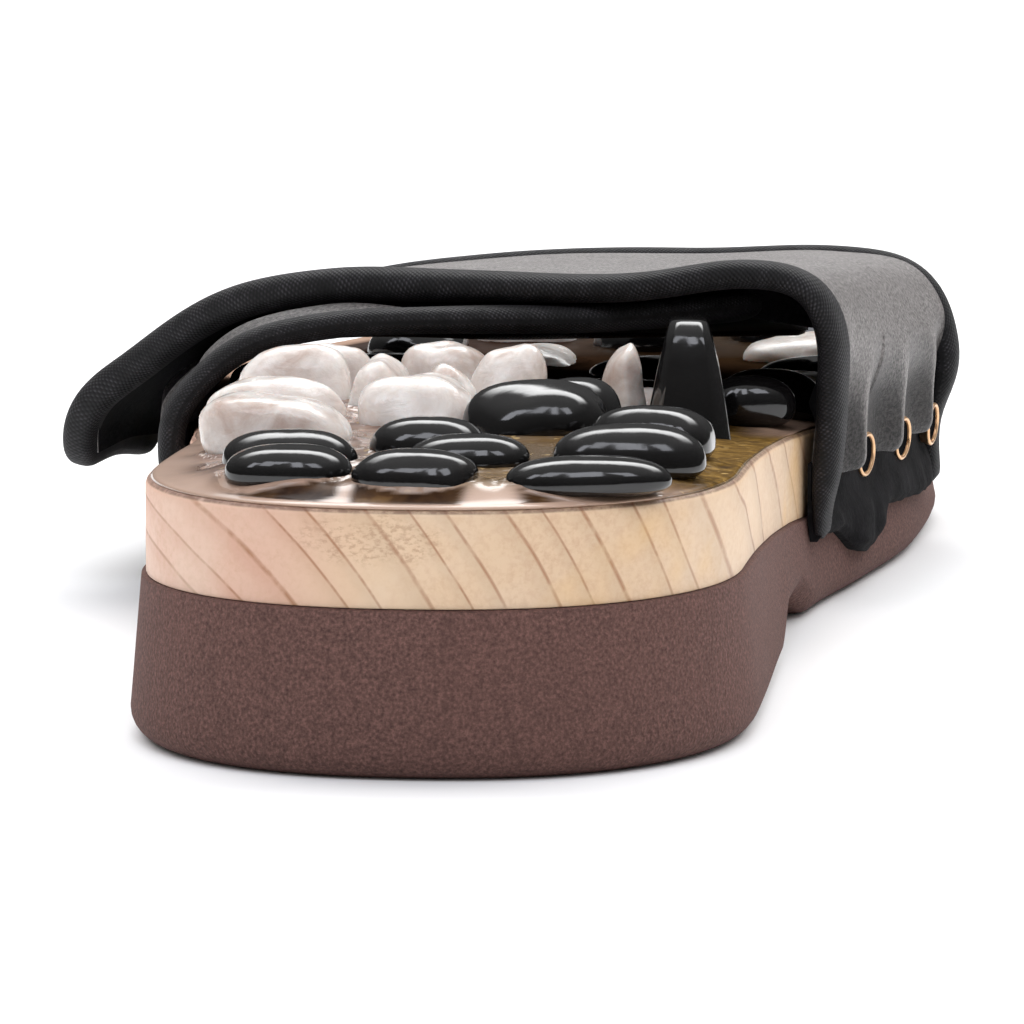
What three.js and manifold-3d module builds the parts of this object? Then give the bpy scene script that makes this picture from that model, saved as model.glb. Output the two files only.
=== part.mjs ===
// A left massage sandal: a foam wedge sole, a wooden board set with pebbles in clear resin,
// and a leather upper of two straps, a medial flap that closes over a lateral strap.
// Millimetres. x runs across the foot, + towards the big toe. y runs from the back of the heel to the toe.
// z is the height over the floor. The group is then moved so that the origin is under the heel's middle.
import * as THREE from "three";
import { mergeVertices } from "three/addons/utils/BufferGeometryUtils.js";
import Module from "manifold-3d";

const wasm = await Module();
wasm.setup();

// Driving dimensions
const SOLE_LENGTH = 264;
const HEEL_CENTRE = 40;
const HEEL_ROUND = 36;
const TOE_ROUND = 58;
const END_POWER = 2.25;
const FOAM_FLARE = 1.2;
const FOAM_EDGE_RADIUS = 3;
const BOARD_THICKNESS = 10;
const BOARD_INSET = 0.5;
const BOARD_EDGE = 0.8;
const RESIN_INSET = 1.4;
const SEAT_GAP = 0.3;
const LEATHER = 2.2;
const REAR_BINDING = 3.4;
const FRONT_BINDING = 3;
const BINDING_WIDTH = 5.2;
const PLEAT_DEPTH = 3.2;
const PUFF_STEPS = 3;
const CLOSURE_THICKNESS = 4.9;
const PEBBLE_SIDES = 9;
const TACK_DIAMETER = 5.6;
const TACK_HEIGHT = 1;
const TACK_SEAT = 6.4;

// The sole by sections: the two edges seen from above, the board's underside, the foam's underside
// and how deep the resin is poured.
const SOLE = [
  { y: 0, medial: 31.5, lateral: -31.5, board: 17.3, floor: 0, pour: 0.9 },
  { y: 36, medial: 32.1, lateral: -31.6, board: 17.2, floor: 0, pour: 2.3 },
  { y: 80, medial: 31.3, lateral: -34.8, board: 14.6, floor: 0, pour: 4.4 },
  { y: 92, medial: 31.2, lateral: -36.9, board: 13.7, floor: 4.3, pour: 4.6 },
  { y: 108, medial: 31.3, lateral: -39.2, board: 12.5, floor: 4.3, pour: 3.8 },
  { y: 123, medial: 32.2, lateral: -41.5, board: 11.5, floor: 0, pour: 2.2 },
  { y: 150, medial: 36.5, lateral: -46, board: 10.3, floor: 0, pour: 2 },
  { y: 182, medial: 40.6, lateral: -50.2, board: 9.6, floor: 0, pour: 2 },
  { y: 205, medial: 41.2, lateral: -50.2, board: 9.5, floor: 0, pour: 2 },
  { y: 224, medial: 41, lateral: -46, board: 9.7, floor: 0, pour: 2 },
  { y: 264, medial: 39, lateral: -28, board: 13.2, floor: 6.5, pour: 2 },
];

// The flap's girth from the medial hem over the foot to its free end, on the rear and the front edge.
// off is the distance out from the sole's edge, for the rows that follow the sole.
const FLAP = [
  { at: "hem", rear: { y: 120, off: 0, z: 8.5 }, front: { y: 197, off: 0, z: 6.5 } },
  { at: "tack line", rear: { y: 120, off: 0, z: 16 }, front: { y: 197, off: 0, z: 14.6 } },
  { at: "wall", rear: { y: 119.5, off: 0.8, z: 25 }, front: { y: 197, off: 1.8, z: 23 } },
  { at: "wall top", rear: { y: 119, x: 34.6, z: 32.5 }, front: { y: 197, x: 43.3, z: 29.6 } },
  { at: "shoulder", rear: { y: 118, x: 31.9, z: 38.9 }, front: { y: 198, x: 39.6, z: 33.3 } },
  { at: "crown", rear: { y: 118, x: 25, z: 40.5 }, front: { y: 199, x: 30, z: 34.7 } },
  { at: "saddle", rear: { y: 118, x: 11, z: 38.6 }, front: { y: 200, x: 14, z: 34.2 } },
  { at: "middle", rear: { y: 119, x: -8, z: 38.5 }, front: { y: 199, x: -6, z: 34 } },
  { at: "lateral top", rear: { y: 122, x: -25, z: 38.2 }, front: { y: 195, x: -27, z: 32.2 } },
  { at: "lateral shoulder", rear: { y: 126, x: -38, z: 35.2 }, front: { y: 190, x: -41.4, z: 28.4 } },
  { at: "fall", rear: { y: 129, x: -48, z: 28.4 }, front: { y: 185, x: -50.6, z: 22 } },
  { at: "end corner", rear: { y: 132, x: -53.3, z: 21.4 }, front: { y: 180, x: -54.6, z: 16.6 } },
  { at: "free end", rear: { y: 139, x: -54.4, z: 14.6 }, front: { y: 173, x: -55.2, z: 12.2 } },
];

// The lateral strap's girth from its hem to the end that lies under the flap.
const STRAP = [
  { at: "hem", rear: { y: 113, off: 0, z: 9 }, front: { y: 191, off: 0, z: 6.5 } },
  { at: "tack line", rear: { y: 113, off: 0, z: 16.5 }, front: { y: 191, off: 0, z: 14 } },
  { at: "wall", rear: { y: 113, off: 0.1, z: 22.4 }, front: { y: 191, off: 0.4, z: 19.4 } },
  { at: "lower shoulder", rear: { y: 113, x: -38.6, z: 27.6 }, front: { y: 191, x: -48, z: 23.4 } },
  { at: "shoulder", rear: { y: 113, x: -33.6, z: 31.8 }, front: { y: 191, x: -41.6, z: 25.8 } },
  { at: "top", rear: { y: 113, x: -24, z: 34.4 }, front: { y: 191, x: -30, z: 26.8 } },
  { at: "middle", rear: { y: 114, x: -9, z: 35.2 }, front: { y: 192, x: -12, z: 26.6 } },
  { at: "inner", rear: { y: 120, x: 8, z: 35 }, front: { y: 191, x: 8, z: 27.2 } },
  { at: "medial end", rear: { y: 134, x: 24, z: 35.4 }, front: { y: 188, x: 28, z: 28 } },
];

// The hook and loop closure that joins the two straps where they cross.
const CLOSURE = [
  { at: "lateral side", rear: { y: 131, x: -29, z: 34.1 }, front: { y: 180, x: -30, z: 30 } },
  { at: "middle", rear: { y: 128, x: -12, z: 35.7 }, front: { y: 183, x: -12, z: 31 } },
  { at: "medial side", rear: { y: 131, x: 3, z: 35.75 }, front: { y: 180, x: 3, z: 31.7 } },
];

// The tacks of each side, by their distance from the heel.
const TACKS = {
  medial: { first: 128.2, pitch: 20.2, count: 4 },
  lateral: { first: 121.2, pitch: 20.4, count: 4 },
};

// The pebbles on the board: place, size over the board and turn about the vertical, in degrees.
const PEBBLES = [
  { x: -13.4, y: 12.4, long: 13.8, wide: 10.4, tall: 4.8, turn: 4, stone: "black" },
  { x: 0.45, y: 9.6, long: 13.2, wide: 10, tall: 4.9, turn: -3, stone: "black" },
  { x: 17.8, y: 11.4, long: 17, wide: 9.6, tall: 4.2, turn: 12, stone: "black" },
  { x: -14.5, y: 23.6, long: 14.6, wide: 10, tall: 5.1, turn: -2, stone: "black" },
  { x: 4.3, y: 21.6, long: 13.2, wide: 9.6, tall: 5.1, turn: 2, stone: "black" },
  { x: 20.3, y: 24.4, long: 16.6, wide: 11, tall: 6, turn: 8, stone: "black" },
  { x: -1.5, y: 33.4, long: 12.8, wide: 11, tall: 5.6, turn: -5, stone: "black" },
  { x: 22, y: 40.4, long: 14, wide: 13, tall: 6.4, turn: -10, stone: "black" },
  { x: -18.5, y: 40, long: 16.6, wide: 15, tall: 7.1, turn: 8, stone: "white" },
  { x: 8, y: 50.6, long: 15.6, wide: 14.6, tall: 8.2, turn: -6, stone: "black" },
  { x: -5.9, y: 57, long: 13.2, wide: 15, tall: 8.4, turn: 8, stone: "white" },
  { x: -21.4, y: 59.4, long: 15.2, wide: 13, tall: 7.8, turn: -6, stone: "white" },
  { x: 19, y: 60, long: 10, wide: 11, tall: 4.6, turn: 30, stone: "black" },
  { x: -23, y: 82, long: 13, wide: 14, tall: 10.7, turn: 14, stone: "white" },
  { x: -12.4, y: 75, long: 7, wide: 12, tall: 9.9, turn: -8, stone: "white" },
  { x: -4.6, y: 73, long: 7, wide: 12, tall: 9, turn: 8, stone: "white" },
  { x: 10.6, y: 68.6, long: 9.4, wide: 11, tall: 7.8, turn: -16, stone: "black" },
  { x: 0.4, y: 90, long: 9.4, wide: 12, tall: 10.8, turn: 10, stone: "white" },
  { x: -8, y: 103, long: 10.8, wide: 12, tall: 10.6, turn: -20, stone: "white" },
  { x: -20.5, y: 100.6, long: 8.4, wide: 13, tall: 10.4, turn: 10, stone: "white" },
  { x: 12.1, y: 105, long: 5.6, wide: 10, tall: 10.6, turn: 6, stone: "white" },
  { x: 25, y: 121.4, long: 11, wide: 9.4, tall: 6.4, turn: 24, stone: "black" },
  { x: -3.4, y: 116, long: 13, wide: 10.4, tall: 4.4, turn: 14, stone: "black" },
  { x: -22, y: 116, long: 16, wide: 12, tall: 4.8, turn: -12, stone: "white" },
  { x: 10.6, y: 122, long: 14, wide: 12, tall: 4.8, turn: -22, stone: "white" },
  { x: -33.4, y: 127, long: 9, wide: 13, tall: 4.8, turn: 18, stone: "black" },
  { x: -8.6, y: 129, long: 15, wide: 12, tall: 4.8, turn: 8, stone: "white" },
  { x: 26, y: 136, long: 13, wide: 12, tall: 6.4, turn: 28, stone: "black" },
  { x: -22.6, y: 139, long: 13, wide: 14, tall: 4.8, turn: -14, stone: "black" },
  { x: 8, y: 148, long: 15, wide: 13, tall: 4.2, turn: 10, stone: "black" },
  { x: -36.4, y: 149, long: 9.6, wide: 15, tall: 4.2, turn: 12, stone: "white" },
  { x: -16, y: 158, long: 15, wide: 13, tall: 4.2, turn: -24, stone: "white" },
  { x: 28, y: 155, long: 15, wide: 13, tall: 4.8, turn: -10, stone: "white" },
  { x: -38.6, y: 171, long: 11, wide: 15, tall: 4.2, turn: -8, stone: "black" },
  { x: 29, y: 177, long: 16, wide: 15, tall: 4.8, turn: 22, stone: "black" },
  { x: -25.4, y: 180, long: 14, wide: 14, tall: 4.2, turn: 18, stone: "black" },
  { x: 8, y: 180, long: 15, wide: 15, tall: 4.2, turn: -6, stone: "black" },
  { x: -38.4, y: 197, long: 13, wide: 15, tall: 3.4, turn: 24, stone: "white" },
  { x: -9, y: 195, long: 15, wide: 15, tall: 4.2, turn: 4, stone: "white" },
  { x: 26.6, y: 203, long: 17, wide: 16, tall: 5.4, turn: -14, stone: "white" },
  { x: -25, y: 207, long: 13, wide: 14, tall: 6, turn: -10, stone: "black" },
  { x: 4.6, y: 216, long: 15, wide: 15, tall: 6.4, turn: 12, stone: "black" },
  { x: 22, y: 227, long: 16, wide: 15, tall: 6.4, turn: 8, stone: "black" },
  { x: -12.6, y: 225, long: 14, wide: 14, tall: 6, turn: -18, stone: "white" },
];

// The upright stone under the arch.
const ARCH_STONE = { x: 19.8, y: 101, long: 24, thick: 7.8, tall: 13.6, turn: 5 };

const mm = (colour, roughness, metalness = 0) =>
  new THREE.MeshStandardMaterial({ color: colour, roughness, metalness });
const FINISH = {
  foam: mm(0x5e453f, 0.9),
  wood: mm(0xd9b48a, 0.55),
  resin: mm(0x8a6a34, 0.08),
  leather: mm(0x7a7573, 0.5),
  brass: mm(0xb98a4e, 0.35, 1),
  black: mm(0x141313, 0.1),
  white: mm(0xe6d8cc, 0.2),
};

// How finely the sole's outline and the resin's are cut
const SOLE_STEPS = { heelSteps: 7, middleSteps: 24, toeSteps: 8 };
const RESIN_STEPS = { heelSteps: 5, middleSteps: 7, toeSteps: 5 };

// Tables and curves

// Value of a table's column at y, on a curve that never overshoots its rows.
function along(table, column, y) {
  const last = table.length - 2;
  const i = Math.min(last, Math.max(0, table.findIndex((row) => row.y > y) - 1));
  const k = y >= table[last + 1].y ? last : i;
  const slope = (n) =>
    (table[n + 1][column] - table[n][column]) / (table[n + 1].y - table[n].y);
  const tangent = (n) => {
    if (n === 0 || n === table.length - 1) return slope(Math.min(n, last));
    const [before, after] = [slope(n - 1), slope(n)];
    return before * after <= 0 ? 0 : (2 * before * after) / (before + after);
  };
  const step = table[k + 1].y - table[k].y;
  const t = THREE.MathUtils.clamp((y - table[k].y) / step, 0, 1);
  const [a, b] = [table[k][column], table[k + 1][column]];
  const bend = (1 - t) * (tangent(k) * step + a - b) - t * (tangent(k + 1) * step + a - b);
  return a + (b - a) * t + t * (1 - t) * bend;
}

const boardBase = (y) => along(SOLE, "board", y);
const boardTop = (y) => boardBase(y) + BOARD_THICKNESS;
const floorLine = (y) => along(SOLE, "floor", y);

// How far the outline has opened at y: 0 at the tips, 1 past the rounded heel and toe.
function endRound(y) {
  const share = Math.min(1, y / HEEL_ROUND, (SOLE_LENGTH - y) / TOE_ROUND);
  return (1 - Math.max(0, 1 - share) ** END_POWER) ** (1 / END_POWER);
}

// The sole's edge on one side, seen from above.
function edge(side, y) {
  const middle = (along(SOLE, "medial", y) + along(SOLE, "lateral", y)) / 2;
  return middle + (along(SOLE, side, y) - middle) * endRound(y);
}

// Distances from the heel at which the sole is cut into sections, closer at the round ends.
function soleStations({ heelSteps, middleSteps, toeSteps }) {
  const middle = SOLE_LENGTH - HEEL_ROUND - TOE_ROUND;
  const quarter = (i, steps) => 1 - Math.cos((Math.PI / 2) * (i / steps));
  const list = [];
  for (let i = 0; i < heelSteps; i++) list.push(HEEL_ROUND * quarter(i, heelSteps));
  for (let i = 0; i <= middleSteps; i++) list.push(HEEL_ROUND + (middle * i) / middleSteps);
  for (let i = toeSteps - 1; i >= 0; i--) list.push(SOLE_LENGTH - TOE_ROUND * quarter(i, toeSteps));
  return list;
}

// The outline as points with their outward normals: up the medial side, and back down the lateral one.
function soleOutline(stations) {
  const medial = stations.map((y) => new THREE.Vector2(edge("medial", y), y));
  const lateral = stations.slice(1, -1).map((y) => new THREE.Vector2(edge("lateral", y), y));
  const points = [...medial, ...lateral.reverse()];
  return points.map((point, i) => {
    const before = points[(i + points.length - 1) % points.length];
    const after = points[(i + 1) % points.length];
    const run = after.clone().sub(before).normalize();
    return { point, out: new THREE.Vector2(run.y, -run.x) };
  });
}

// Solids

function geometry(vertices, triangles) {
  const made = new THREE.BufferGeometry();
  made.setAttribute("position", new THREE.Float32BufferAttribute(vertices, 3));
  made.setIndex(triangles);
  made.computeVertexNormals();
  return made;
}

function toSolid(source) {
  const bare = source.clone();
  bare.deleteAttribute("normal");
  bare.deleteAttribute("uv");
  const welded = mergeVertices(bare, 1e-3);
  return new wasm.Manifold(
    new wasm.Mesh({
      numProp: 3,
      vertProperties: new Float32Array(welded.attributes.position.array),
      triVerts: new Uint32Array(welded.index.array),
    }),
  );
}

function toGeometry(solid) {
  const mesh = solid.getMesh();
  return geometry(Array.from(mesh.vertProperties), Array.from(mesh.triVerts));
}

// A slab with the sole's outline, from a list of rings from the top down. Each ring has an offset and a height.
function soleSlab(rings, steps) {
  const stations = soleStations(steps);
  const outline = soleOutline(stations);
  const around = outline.length;
  const last = stations.length - 1;
  const vertices = [];
  const triangles = [];
  for (const ring of rings) {
    for (const { point, out } of outline) {
      const offset = ring.offset;
      vertices.push(point.x + out.x * offset, point.y + out.y * offset, ring.height(point.y));
    }
  }
  for (let r = 0; r + 1 < rings.length; r++) {
    for (let i = 0; i < around; i++) {
      const a = r * around + i;
      const b = r * around + ((i + 1) % around);
      triangles.push(a, b + around, b, a, a + around, b + around);
    }
  }
  const lateral = (j) => (j === 0 ? 0 : around - j);
  const base = (rings.length - 1) * around;
  for (let j = 0; j < last; j++) {
    const [m0, m1, l0, l1] = [j, j + 1, lateral(j), j + 1 === last ? last : lateral(j + 1)];
    if (l1 !== m1) {
      triangles.push(m0, m1, l1);
      triangles.push(base + m0, base + l1, base + m1);
    }
    if (l0 !== m0) {
      triangles.push(m0, l1, l0);
      triangles.push(base + m0, base + l0, base + l1);
    }
  }
  return geometry(vertices, triangles);
}

function outsole() {
  const top = (y) => boardBase(y) - SEAT_GAP;
  const above = (share) => (y) => THREE.MathUtils.lerp(floorLine(y), top(y), share);
  const raised = (height) => (y) => floorLine(y) + height;
  return soleSlab([
    { offset: 0, height: top },
    { offset: FOAM_FLARE * 0.4, height: above(0.62) },
    { offset: FOAM_FLARE, height: raised(FOAM_EDGE_RADIUS) },
    { offset: FOAM_FLARE - 0.3 * FOAM_EDGE_RADIUS, height: raised(0.3 * FOAM_EDGE_RADIUS) },
    { offset: FOAM_FLARE - FOAM_EDGE_RADIUS, height: floorLine },
  ], SOLE_STEPS);
}

function board() {
  const under = (y) => boardTop(y) - BOARD_EDGE;
  return soleSlab([
    { offset: -BOARD_INSET - BOARD_EDGE, height: boardTop },
    { offset: -BOARD_INSET, height: under },
    { offset: -BOARD_INSET, height: boardBase },
  ], SOLE_STEPS);
}

// A pebble: a flat base, two rings and a crown, on its own origin.
function pebble({ long, wide, tall }) {
  const around = PEBBLE_SIDES;
  const rings = [
    { share: 0.78, height: 0 },
    { share: 1, height: 0.4 },
    { share: 0.76, height: 0.82 },
  ];
  const vertices = [];
  const triangles = [];
  for (const { share, height } of rings) {
    for (let i = 0; i < around; i++) {
      const angle = (2 * Math.PI * i) / around;
      const x = (long / 2) * share * Math.cos(angle);
      const y = (wide / 2) * share * Math.sin(angle);
      vertices.push(x, y, height * tall);
    }
  }
  const crown = rings.length * around;
  vertices.push(0, 0, tall);
  for (let i = 0; i < around; i++) {
    const j = (i + 1) % around;
    for (let r = 0; r + 1 < rings.length; r++) {
      const [a, b] = [r * around + i, r * around + j];
      triangles.push(a, b, b + around, a, b + around, a + around);
    }
    triangles.push(crown - around + i, crown - around + j, crown);
    if (i > 0 && j > 0) triangles.push(0, j, i);
  }
  return geometry(vertices, triangles);
}

// The arch stone: a slab on its edge, rounded over the top and bevelled along both sides.
function archStone({ long, thick, tall }, grow = 0) {
  const layers = [
    { height: 0, length: 1, thickness: 1 },
    { height: 0.4, length: 0.98, thickness: 0.94 },
    { height: 0.72, length: 0.86, thickness: 0.84 },
    { height: 0.9, length: 0.68, thickness: 0.7 },
    { height: 1, length: 0.42, thickness: 0.5 },
  ];
  const bevel = 0.3;
  const corner = [[1, -1 + bevel], [1, 1 - bevel], [1 - bevel, 1], [-1 + bevel, 1]];
  const plan = [...corner, ...corner.map(([x, y]) => [-x, -y])];
  const vertices = [];
  const triangles = [];
  for (const { height, length, thickness } of layers) {
    for (const [x, y] of plan) {
      const across = (thick / 2) * thickness + grow;
      const lengthwise = (long / 2) * length + grow;
      vertices.push(x * across, y * lengthwise, height * tall + (height ? grow : -grow));
    }
  }
  const around = plan.length;
  const top = (layers.length - 1) * around;
  for (let i = 0; i < around; i++) {
    const j = (i + 1) % around;
    for (let r = 0; r + 1 < layers.length; r++) {
      const [a, b] = [r * around + i, r * around + j];
      triangles.push(a, b, b + around, a, b + around, a + around);
    }
    if (i > 0 && j > 0) triangles.push(0, j, i, top, top + i, top + j);
  }
  return geometry(vertices, triangles);
}

// Seats a stone on the board: the board's slope tips it, after its own turn.
function seat(mesh, { x, y, turn }) {
  const slope = Math.atan(boardTop(y + 1) - boardTop(y));
  mesh.position.set(x, y, boardTop(y) + SEAT_GAP);
  mesh.rotation.set(slope, 0, THREE.MathUtils.degToRad(turn));
  mesh.updateMatrix();
  return mesh;
}

// The hole that a pebble leaves in the resin: an upright prism round its waist.
function pocket({ long, wide, tall }) {
  const sides = PEBBLE_SIDES;
  const prism = new THREE.CylinderGeometry(1, 1, 2 * tall, sides, 1, false, Math.PI / 2);
  prism.rotateX(Math.PI / 2);
  return prism.scale(long / 2 + SEAT_GAP, wide / 2 + SEAT_GAP, 1);
}

// The clear resin poured round the stones, with a pocket for each of them.
function resin() {
  const lift = (share) => (y) => boardTop(y) + SEAT_GAP + share * along(SOLE, "pour", y);
  let poured = toSolid(
    soleSlab([
      { offset: -RESIN_INSET - 5.6, height: lift(1) },
      { offset: -RESIN_INSET - 1.4, height: lift(0.6) },
      { offset: -RESIN_INSET, height: lift(0) },
    ], RESIN_STEPS),
  );
  const stones = PEBBLES.map((stone) => [pocket(stone), stone]);
  stones.push([archStone(ARCH_STONE, SEAT_GAP), ARCH_STONE]);
  for (const [shape, stone] of stones) {
    const placed = seat(new THREE.Mesh(shape), stone);
    poured = poured.subtract(toSolid(shape.clone().applyMatrix4(placed.matrix)));
  }
  return toGeometry(poured);
}

// Straps

// How far the foam stands out from the sole's edge at a height.
function flareAt(y, z) {
  const share = THREE.MathUtils.clamp(z / boardBase(y), 0, 1);
  return FOAM_FLARE * (1 - share);
}

// A row of a girth table as a point, v of the way from its rear to its front edge.
function rowPoint(row, side, v) {
  const lerp = (key) => THREE.MathUtils.lerp(row.rear[key], row.front[key], v);
  const [y, z] = [lerp("y"), lerp("z")];
  if (!("off" in row.rear)) return new THREE.Vector3(lerp("x"), y, z);
  const out = SEAT_GAP + LEATHER / 2 + flareAt(y, z) + lerp("off");
  return new THREE.Vector3(edge(side, y) + Math.sign(edge(side, y)) * out, y, z);
}

// How far the leather swells between two tacks: nothing at the hem, at a tack and over the shoulder.
function pleat(side, y, z) {
  const { first, pitch } = TACKS[side];
  const share = (y - first) / pitch;
  const fromTack = Math.abs(share - Math.round(share)) * pitch;
  const wave = THREE.MathUtils.smoothstep(fromTack, TACK_SEAT / 2, pitch / 2);
  const start = THREE.MathUtils.smoothstep(z, 10, 15);
  const fade = 1 - THREE.MathUtils.smoothstep(z, 18, 31);
  return PLEAT_DEPTH * wave * start * fade;
}

// Wall thickness across a strap, by the distance to its nearer long edge: a bound edge, a step and the leather.
const ACROSS = [
  { inset: 0, share: 0.4 },
  { inset: 0.8, share: 0.82 },
  { inset: 2.3, share: 1 },
  { inset: BINDING_WIDTH - 0.7, share: 0.86 },
  { inset: BINDING_WIDTH, share: 0 },
];

// A strap as one wall. Its middle surface runs through the girth table, and the wall stands half to each side.
function strap(girth, side, { girthSteps, boundEnd }) {
  const across = [];
  const { first, pitch, count } = TACKS[side];
  const rear = girth[0].rear.y;
  const width = girth[0].front.y - rear;
  const puff = pitch - TACK_SEAT;
  const boundWall = (share, binding) => (share > 0 ? share * binding : LEATHER);
  for (const { inset, share } of ACROSS) {
    across.push({ v: inset / width, wall: boundWall(share, REAR_BINDING) });
  }
  for (let n = 0; n + 1 < count; n++) {
    for (let k = 0; k <= PUFF_STEPS; k++) {
      const y = first + n * pitch + TACK_SEAT / 2 + (puff * k) / PUFF_STEPS;
      across.push({ v: (y - rear) / width, wall: LEATHER });
    }
  }
  for (const { inset, share } of [...ACROSS].reverse()) {
    across.push({ v: 1 - inset / width, wall: boundWall(share, FRONT_BINDING) });
  }
  const curves = across.map(({ v }) => {
    const points = girth.map((row) => rowPoint(row, side, v));
    return new THREE.CatmullRomCurve3(points, false, "centripetal");
  });
  const middle = curves.map((curve) => curve.getSpacedPoints(girthSteps));
  const length = curves[Math.floor(curves.length / 2)].getLength();
  const rows = across.length;
  const outer = [];
  const inner = [];
  for (let j = 0; j < rows; j++) {
    for (let i = 0; i <= girthSteps; i++) {
      const point = middle[j][i];
      const run = middle[j][Math.min(i + 1, girthSteps)].clone().sub(middle[j][Math.max(i - 1, 0)]);
      const over = middle[Math.min(j + 1, rows - 1)][i].clone().sub(middle[Math.max(j - 1, 0)][i]);
      const out = (side === "medial" ? over.cross(run) : run.clone().cross(over)).normalize();
      const fromEnd = (length * (girthSteps - i)) / girthSteps;
      let wall = across[j].wall;
      const bound = Math.min(REAR_BINDING, 0.4 * REAR_BINDING + fromEnd);
      if (boundEnd && fromEnd < BINDING_WIDTH) wall = Math.max(wall, bound);
      const beside = point.z < boardTop(point.y) + 3;
      const inside = (beside ? Math.min(wall, LEATHER) : wall) / 2;
      const swell = pleat(side, point.y, point.z);
      outer.push(point.clone().addScaledVector(out, wall - inside + swell));
      inner.push(point.clone().addScaledVector(out, -inside + swell));
    }
  }
  return wallSolid(outer, inner, rows, girthSteps + 1, side === "medial");
}

// Closes two grids of points, an outer and an inner face, into one solid.
function wallSolid(outer, inner, rows, columns, flipped) {
  const vertices = [...outer, ...inner].flatMap((p) => [p.x, p.y, p.z]);
  const shift = outer.length;
  const triangles = [];
  const quad = (a, b, c, d) => {
    if (flipped) triangles.push(a, c, b, a, d, c);
    else triangles.push(a, b, c, a, c, d);
  };
  const at = (j, i) => j * columns + i;
  for (let j = 0; j + 1 < rows; j++) {
    for (let i = 0; i + 1 < columns; i++) {
      quad(at(j, i), at(j, i + 1), at(j + 1, i + 1), at(j + 1, i));
      quad(shift + at(j, i), shift + at(j + 1, i), shift + at(j + 1, i + 1), shift + at(j, i + 1));
    }
    const far = columns - 1;
    quad(at(j, 0), at(j + 1, 0), shift + at(j + 1, 0), shift + at(j, 0));
    quad(at(j, far), shift + at(j, far), shift + at(j + 1, far), at(j + 1, far));
  }
  for (let i = 0; i + 1 < columns; i++) {
    const far = rows - 1;
    quad(at(0, i), shift + at(0, i), shift + at(0, i + 1), at(0, i + 1));
    quad(at(far, i), at(far, i + 1), shift + at(far, i + 1), shift + at(far, i));
  }
  return toSolid(geometry(vertices, triangles));
}

// The closure: a flat pad between the two straps, in the same way as a wall of few rows.
function closure() {
  const steps = 8;
  const rows = 5;
  const outer = [];
  const inner = [];
  for (let j = 0; j < rows; j++) {
    const points = CLOSURE.map((row) => rowPoint(row, "medial", j / (rows - 1)));
    for (const point of new THREE.CatmullRomCurve3(points).getSpacedPoints(steps)) {
      outer.push(point.clone().setZ(point.z + CLOSURE_THICKNESS / 2));
      inner.push(point.clone().setZ(point.z - CLOSURE_THICKNESS / 2));
    }
  }
  return wallSolid(outer, inner, rows, steps + 1, false);
}

function upper() {
  const flap = strap(FLAP, "medial", { girthSteps: 28, boundEnd: true });
  const lateral = strap(STRAP, "lateral", { girthSteps: 17, boundEnd: false });
  return toGeometry(flap.add(closure()).add(lateral));
}

// A tack: a domed ring with a sunk middle, turned about its own axis.
function tack() {
  const radius = TACK_DIAMETER / 2;
  const profile = [
    [0, 0],
    [radius, 0],
    [0.93 * radius, 0.75 * TACK_HEIGHT],
    [0.6 * radius, TACK_HEIGHT],
    [0.46 * radius, 0.5 * TACK_HEIGHT],
    [0, 0.5 * TACK_HEIGHT],
  ].map(([r, h]) => new THREE.Vector2(r, h));
  return toGeometry(toSolid(new THREE.LatheGeometry(profile, 10)));
}

// Assembly

const sandal = new THREE.Group();
sandal.position.y = -HEEL_CENTRE;

function add(name, shape, finish) {
  const mesh = new THREE.Mesh(shape, FINISH[finish]);
  mesh.name = name;
  sandal.add(mesh);
  return mesh;
}

add("outsole", outsole(), "foam");
add("footbed_board", board(), "wood");
add("resin_bed", resin(), "resin");
add("upper", upper(), "leather");

const numbered = (name, i) => `${name}_${String(i + 1).padStart(2, "0")}`;
PEBBLES.forEach((stone, i) => {
  seat(add(numbered(`pebble_${stone.stone}`, i), pebble(stone), stone.stone), stone);
});
seat(add("arch_stone", archStone(ARCH_STONE), "black"), ARCH_STONE);

// Each tack lies flat against the hem's outer face.
const tackShape = tack();
for (const [side, girth] of [["medial", FLAP], ["lateral", STRAP]]) {
  const { first, pitch, count } = TACKS[side];
  const [hem, line, wall] = girth;
  for (let i = 0; i < count; i++) {
    const y = first + i * pitch;
    const v = (y - line.rear.y) / (line.front.y - line.rear.y);
    const rise = rowPoint(wall, side, v).sub(rowPoint(hem, side, v));
    const run = new THREE.Vector3(edge(side, y + 3) - edge(side, y - 3), 6, 0);
    const out = (side === "medial" ? run.cross(rise) : rise.cross(run)).normalize();
    const head = add(numbered(`tack_${side}`, i), tackShape, "brass");
    head.position.copy(rowPoint(line, side, v)).addScaledVector(out, LEATHER / 2 + 2 * SEAT_GAP);
    head.quaternion.setFromUnitVectors(new THREE.Vector3(0, 1, 0), out);
  }
}

export default sandal;
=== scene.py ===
"""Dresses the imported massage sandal: foam sole, wooden board, resin, pebbles, leather straps and tacks."""

import bpy
import numpy as np
from bpy.props import FloatProperty, FloatVectorProperty
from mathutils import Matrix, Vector, noise


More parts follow.
